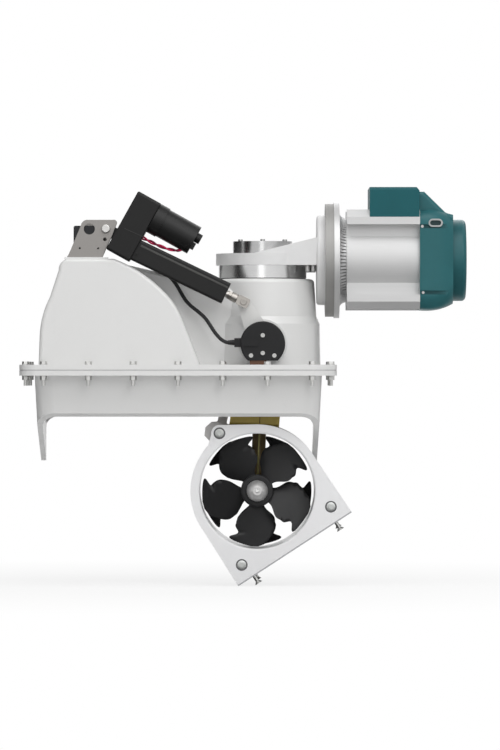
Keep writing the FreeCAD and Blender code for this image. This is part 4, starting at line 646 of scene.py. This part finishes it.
tipScrew = {
    "centre": (0.17105, -0.25078), "face": 0.111, "radius": 0.0042, "sunk": 0.003, "recess": 0.0017,
    "recessFloor": 0.0012, "crown": 0.0010, "crownEdge": (0.0032, 0.0009), "colour": tint(226, 226, 224),
}

for hand, wheel in ((-1, "front"), (1, "back")):
    build = bmesh.new()
    spun(build, [
        (0, -tipScrew["recessFloor"]), (tipScrew["recess"], -tipScrew["recessFloor"]),
        (tipScrew["recess"], tipScrew["crown"]), tipScrew["crownEdge"], (tipScrew["radius"], 0.0),
        (tipScrew["radius"], -tipScrew["sunk"]),
    ], (tipScrew["centre"][0], hand * tipScrew["face"], tipScrew["centre"][1]), (0, hand, 0), steps=32)
    finished(wheel + "TipScrew", build, wheel + "_wheel",
             turnedMetal(wheel + "TipScrew_finish", tipScrew["colour"], axis="Y", roughness=0.3))
print("tip screws turned")


# painted highlight strips down the gear leg's leading edges, and the casting's parting line on the yoke above
# it

legMarks = {
    "lean": 2.14, "pivot": (0.183, 0.069), "thick": 0.0024, "sunk": 0.0008, "edge": 0.0004,
    "strips": {
        "legEdgeHighlight": {"from": -0.1285, "to": -0.2205, "half": 0.0017, "face": 0.022,
                    "colour": tint(150, 144, 84), "pale": tint(176, 168, 104)},
        "yokeSeam": {"from": -0.068, "to": -0.1045, "half": 0.0008, "face": 0.080,
                     "colour": tint(70, 56, 26), "pale": tint(84, 70, 36)},
    },
}

lean = math.radians(legMarks["lean"])
for kind, strip in legMarks["strips"].items():
    height = (strip["from"] + strip["to"]) / 2
    middle = legMarks["pivot"][0] - (legMarks["pivot"][1] - height) * math.tan(lean)
    for hand, end in ((-1, "Front"), (1, "Back")):
        build = bmesh.new()
        block(build, (2 * strip["half"], legMarks["thick"], strip["from"] - strip["to"]))
        rounded(build, list(build.edges), legMarks["edge"], segments=2)
        place = Matrix.Translation((middle, hand * (strip["face"] - legMarks["sunk"]), height))
        bmesh.ops.transform(build, verts=build.verts, matrix=place @ Matrix.Rotation(lean, 4, "Y"))
        finished(kind + end, build, "leg",
                 castBronze(kind + end + "_finish", strip["colour"], strip["pale"], metal=0.25))
print("leg marks laid")


# dark oval plug in the cable entry of the end cap: painted shade inside the hole

entryHole = {"place": (0.5586, 0.3318), "from": -0.1046, "to": -0.0975, "radius": 0.0053, "half": 0.0067,
             "colour": tint(24, 44, 46)}

build = bmesh.new()
for hand in (-1, 1):
    middle = Matrix.Translation((
        entryHole["place"][0] + hand * entryHole["half"], (entryHole["from"] + entryHole["to"]) / 2,
        entryHole["place"][1]))
    cylinder(build, sides=32, radius=entryHole["radius"], length=entryHole["to"] - entryHole["from"],
             place=middle @ Matrix.Rotation(math.pi / 2, 4, "X"))
hull = bmesh.ops.convex_hull(build, input=build.verts)
inside = [item for item in hull["geom_interior"] + hull["geom_unused"]
          if isinstance(item, bmesh.types.BMVert)]
bmesh.ops.delete(build, geom=inside, context="VERTS")
finished("cableEntryShade", build, "root",
         rubber("cableEntryPlug_finish", entryHole["colour"]), smooth=False)
print("cable entry plugged")


# propellers: the wheels' own shape, smoothed and reaching to the mouth's clearance

# the back wheel's colour is darker than the front wheel's: painted shade on the back propeller, behind the
# front one in the tunnel
wheels = {"centre": tipScrew["centre"], "reach": 1.02, "weld": 2e-5,
          "colours": {"front": tint(36, 36, 37), "back": tint(27, 27, 28)}}

hub = Matrix.Translation((wheels["centre"][0], 0, wheels["centre"][1]))
grow = hub @ Matrix.Diagonal((wheels["reach"], 1, wheels["reach"], 1)) @ hub.inverted()
for side, colour in wheels["colours"].items():
    build = bmesh.new()
    build.from_mesh(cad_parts[side + "_propeller"].data)
    bmesh.ops.remove_doubles(build, verts=build.verts, dist=wheels["weld"])
    bmesh.ops.transform(build, verts=build.verts, matrix=grow)
    wheel = finished(side + "Wheel", build, side + "_wheel",
                     glassNylon(side + "Wheel_finish", colour))
    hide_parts(side + "_propeller")
print("propellers smoothed")


# plain pale floor, soft studio light

studio = {
    "floorSide": 400.0, "floorGlow": 0.82, "clearFrom": 0.5, "clearBy": 1.6, "floor": tint(236, 236, 236),
    "worldLevel": 0.3,
    "lamps": {
        "overhead": {"place": (0.2, -1.5, 3.6), "aim": (0.1, 0, 0), "side": 3.0, "watts": 80},
        "key": {"place": (1.9, -4.6, 2.6), "aim": (0.1, 0, 0), "side": 2.8, "watts": 76},
        "fill": {"place": (-0.2, -6.5, -0.1), "aim": (0.1, 0, -0.2), "side": 1.6, "watts": 14},
        "back": {"place": (1.2, 4.5, 2.6), "aim": (0.1, 0, 0), "side": 3.0, "watts": 45},
    },
    "flagTone": tint(52, 52, 53),
    "flags": {
        "flagLeft": {"place": (-1.7, 1.9, 0.4), "turn": (0, math.pi / 2, 0), "side": 4.0},
        "flagRight": {"place": (2.2, 3.2, 0.4), "turn": (0, math.pi / 2, 0), "side": 3.6},
        "flagBelow": {"place": (0.3, -1.7, cadBox[0][2] + 0.004), "turn": (0, 0, 0), "side": 4.2},
        "flagAbove": {"place": (0.4, 0.2, 2.6), "turn": (0, 0, 0), "side": 1.7},
    },
}

world = bpy.data.worlds.new("studio")
scene.world = world
skyLook = Finish("studio", world)
skyLevel = studio["worldLevel"] + skyLook.seen() * (1 - studio["worldLevel"])
sky = skyLook.add("ShaderNodeBackground", {}, {"Color": (1, 1, 1, 1), "Strength": skyLevel})
skyLook.add("ShaderNodeOutputWorld", {}, {0: sky}, output=None)

for name, lamp in studio["lamps"].items():
    light = bpy.data.lights.new(name, "AREA")
    light.shape = "SQUARE"
    light.size = lamp["side"]
    light.energy = lamp["watts"]
    lightObject = bpy.data.objects.new(name, light)
    lightObject.location = lamp["place"]
    aim = Vector(lamp["aim"]) - Vector(lamp["place"])
    lightObject.rotation_euler = aim.to_track_quat("-Z", "Y").to_euler()
    scene.collection.objects.link(lightObject)


def stageSheet(name, side, material):
    build = bmesh.new()
    bmesh.ops.create_grid(build, x_segments=1, y_segments=1, size=side / 2)
    mesh = bpy.data.meshes.new(name)
    build.to_mesh(mesh)
    build.free()
    mesh.materials.append(material)
    sheet = bpy.data.objects.new(name, mesh)
    scene.collection.objects.link(sheet)
    return sheet


floorLook = Finish("floor_paint")
floorTone = floorLook.blend(floorLook.noise(scale=2.0), studio["floor"], lighter(studio["floor"], 1.03))
paint = floorLook.add("ShaderNodeBsdfDiffuse", {}, {0: floorTone})
plain = floorLook.add("ShaderNodeEmission", {}, {"Color": (1, 1, 1, 1), "Strength": 1.0})
away = (floorLook.coordinate(0) ** 2 + floorLook.coordinate(1) ** 2) ** 0.5
clear = floorLook.add(
    "ShaderNodeMapRange", {"clamp": True},
    {"Value": away, "From Min": studio["clearFrom"], "From Max": studio["clearBy"],
     "To Min": studio["floorGlow"], "To Max": 1.0},
)
mixed = floorLook.add("ShaderNodeMixShader", {}, {0: floorLook.seen() * clear, 1: paint, 2: plain})
floorLook.add("ShaderNodeOutputMaterial", {}, {0: mixed}, output=None)
floor = stageSheet("floor", studio["floorSide"], floorLook.material)
floor.location = (0, 0, cadBox[0][2])

flagLook = Finish("flag_cloth")
weave = flagLook.noise(scale=300.0, detail=2.0, roughness=0.5)
flagTone = flagLook.blend(weave, studio["flagTone"], lighter(studio["flagTone"], 1.1))
flagCloth = flagLook.shade(colour=flagTone, roughness=0.9)
for name, cloth in studio["flags"].items():  # dark cloths that only mirrors show, for the bands on metal
    flag = stageSheet(name, cloth["side"], flagCloth)
    flag.location = cloth["place"]
    flag.rotation_euler = cloth["turn"]
    flag.visible_camera = False
    flag.visible_diffuse = False
    flag.visible_shadow = False
print("studio set")
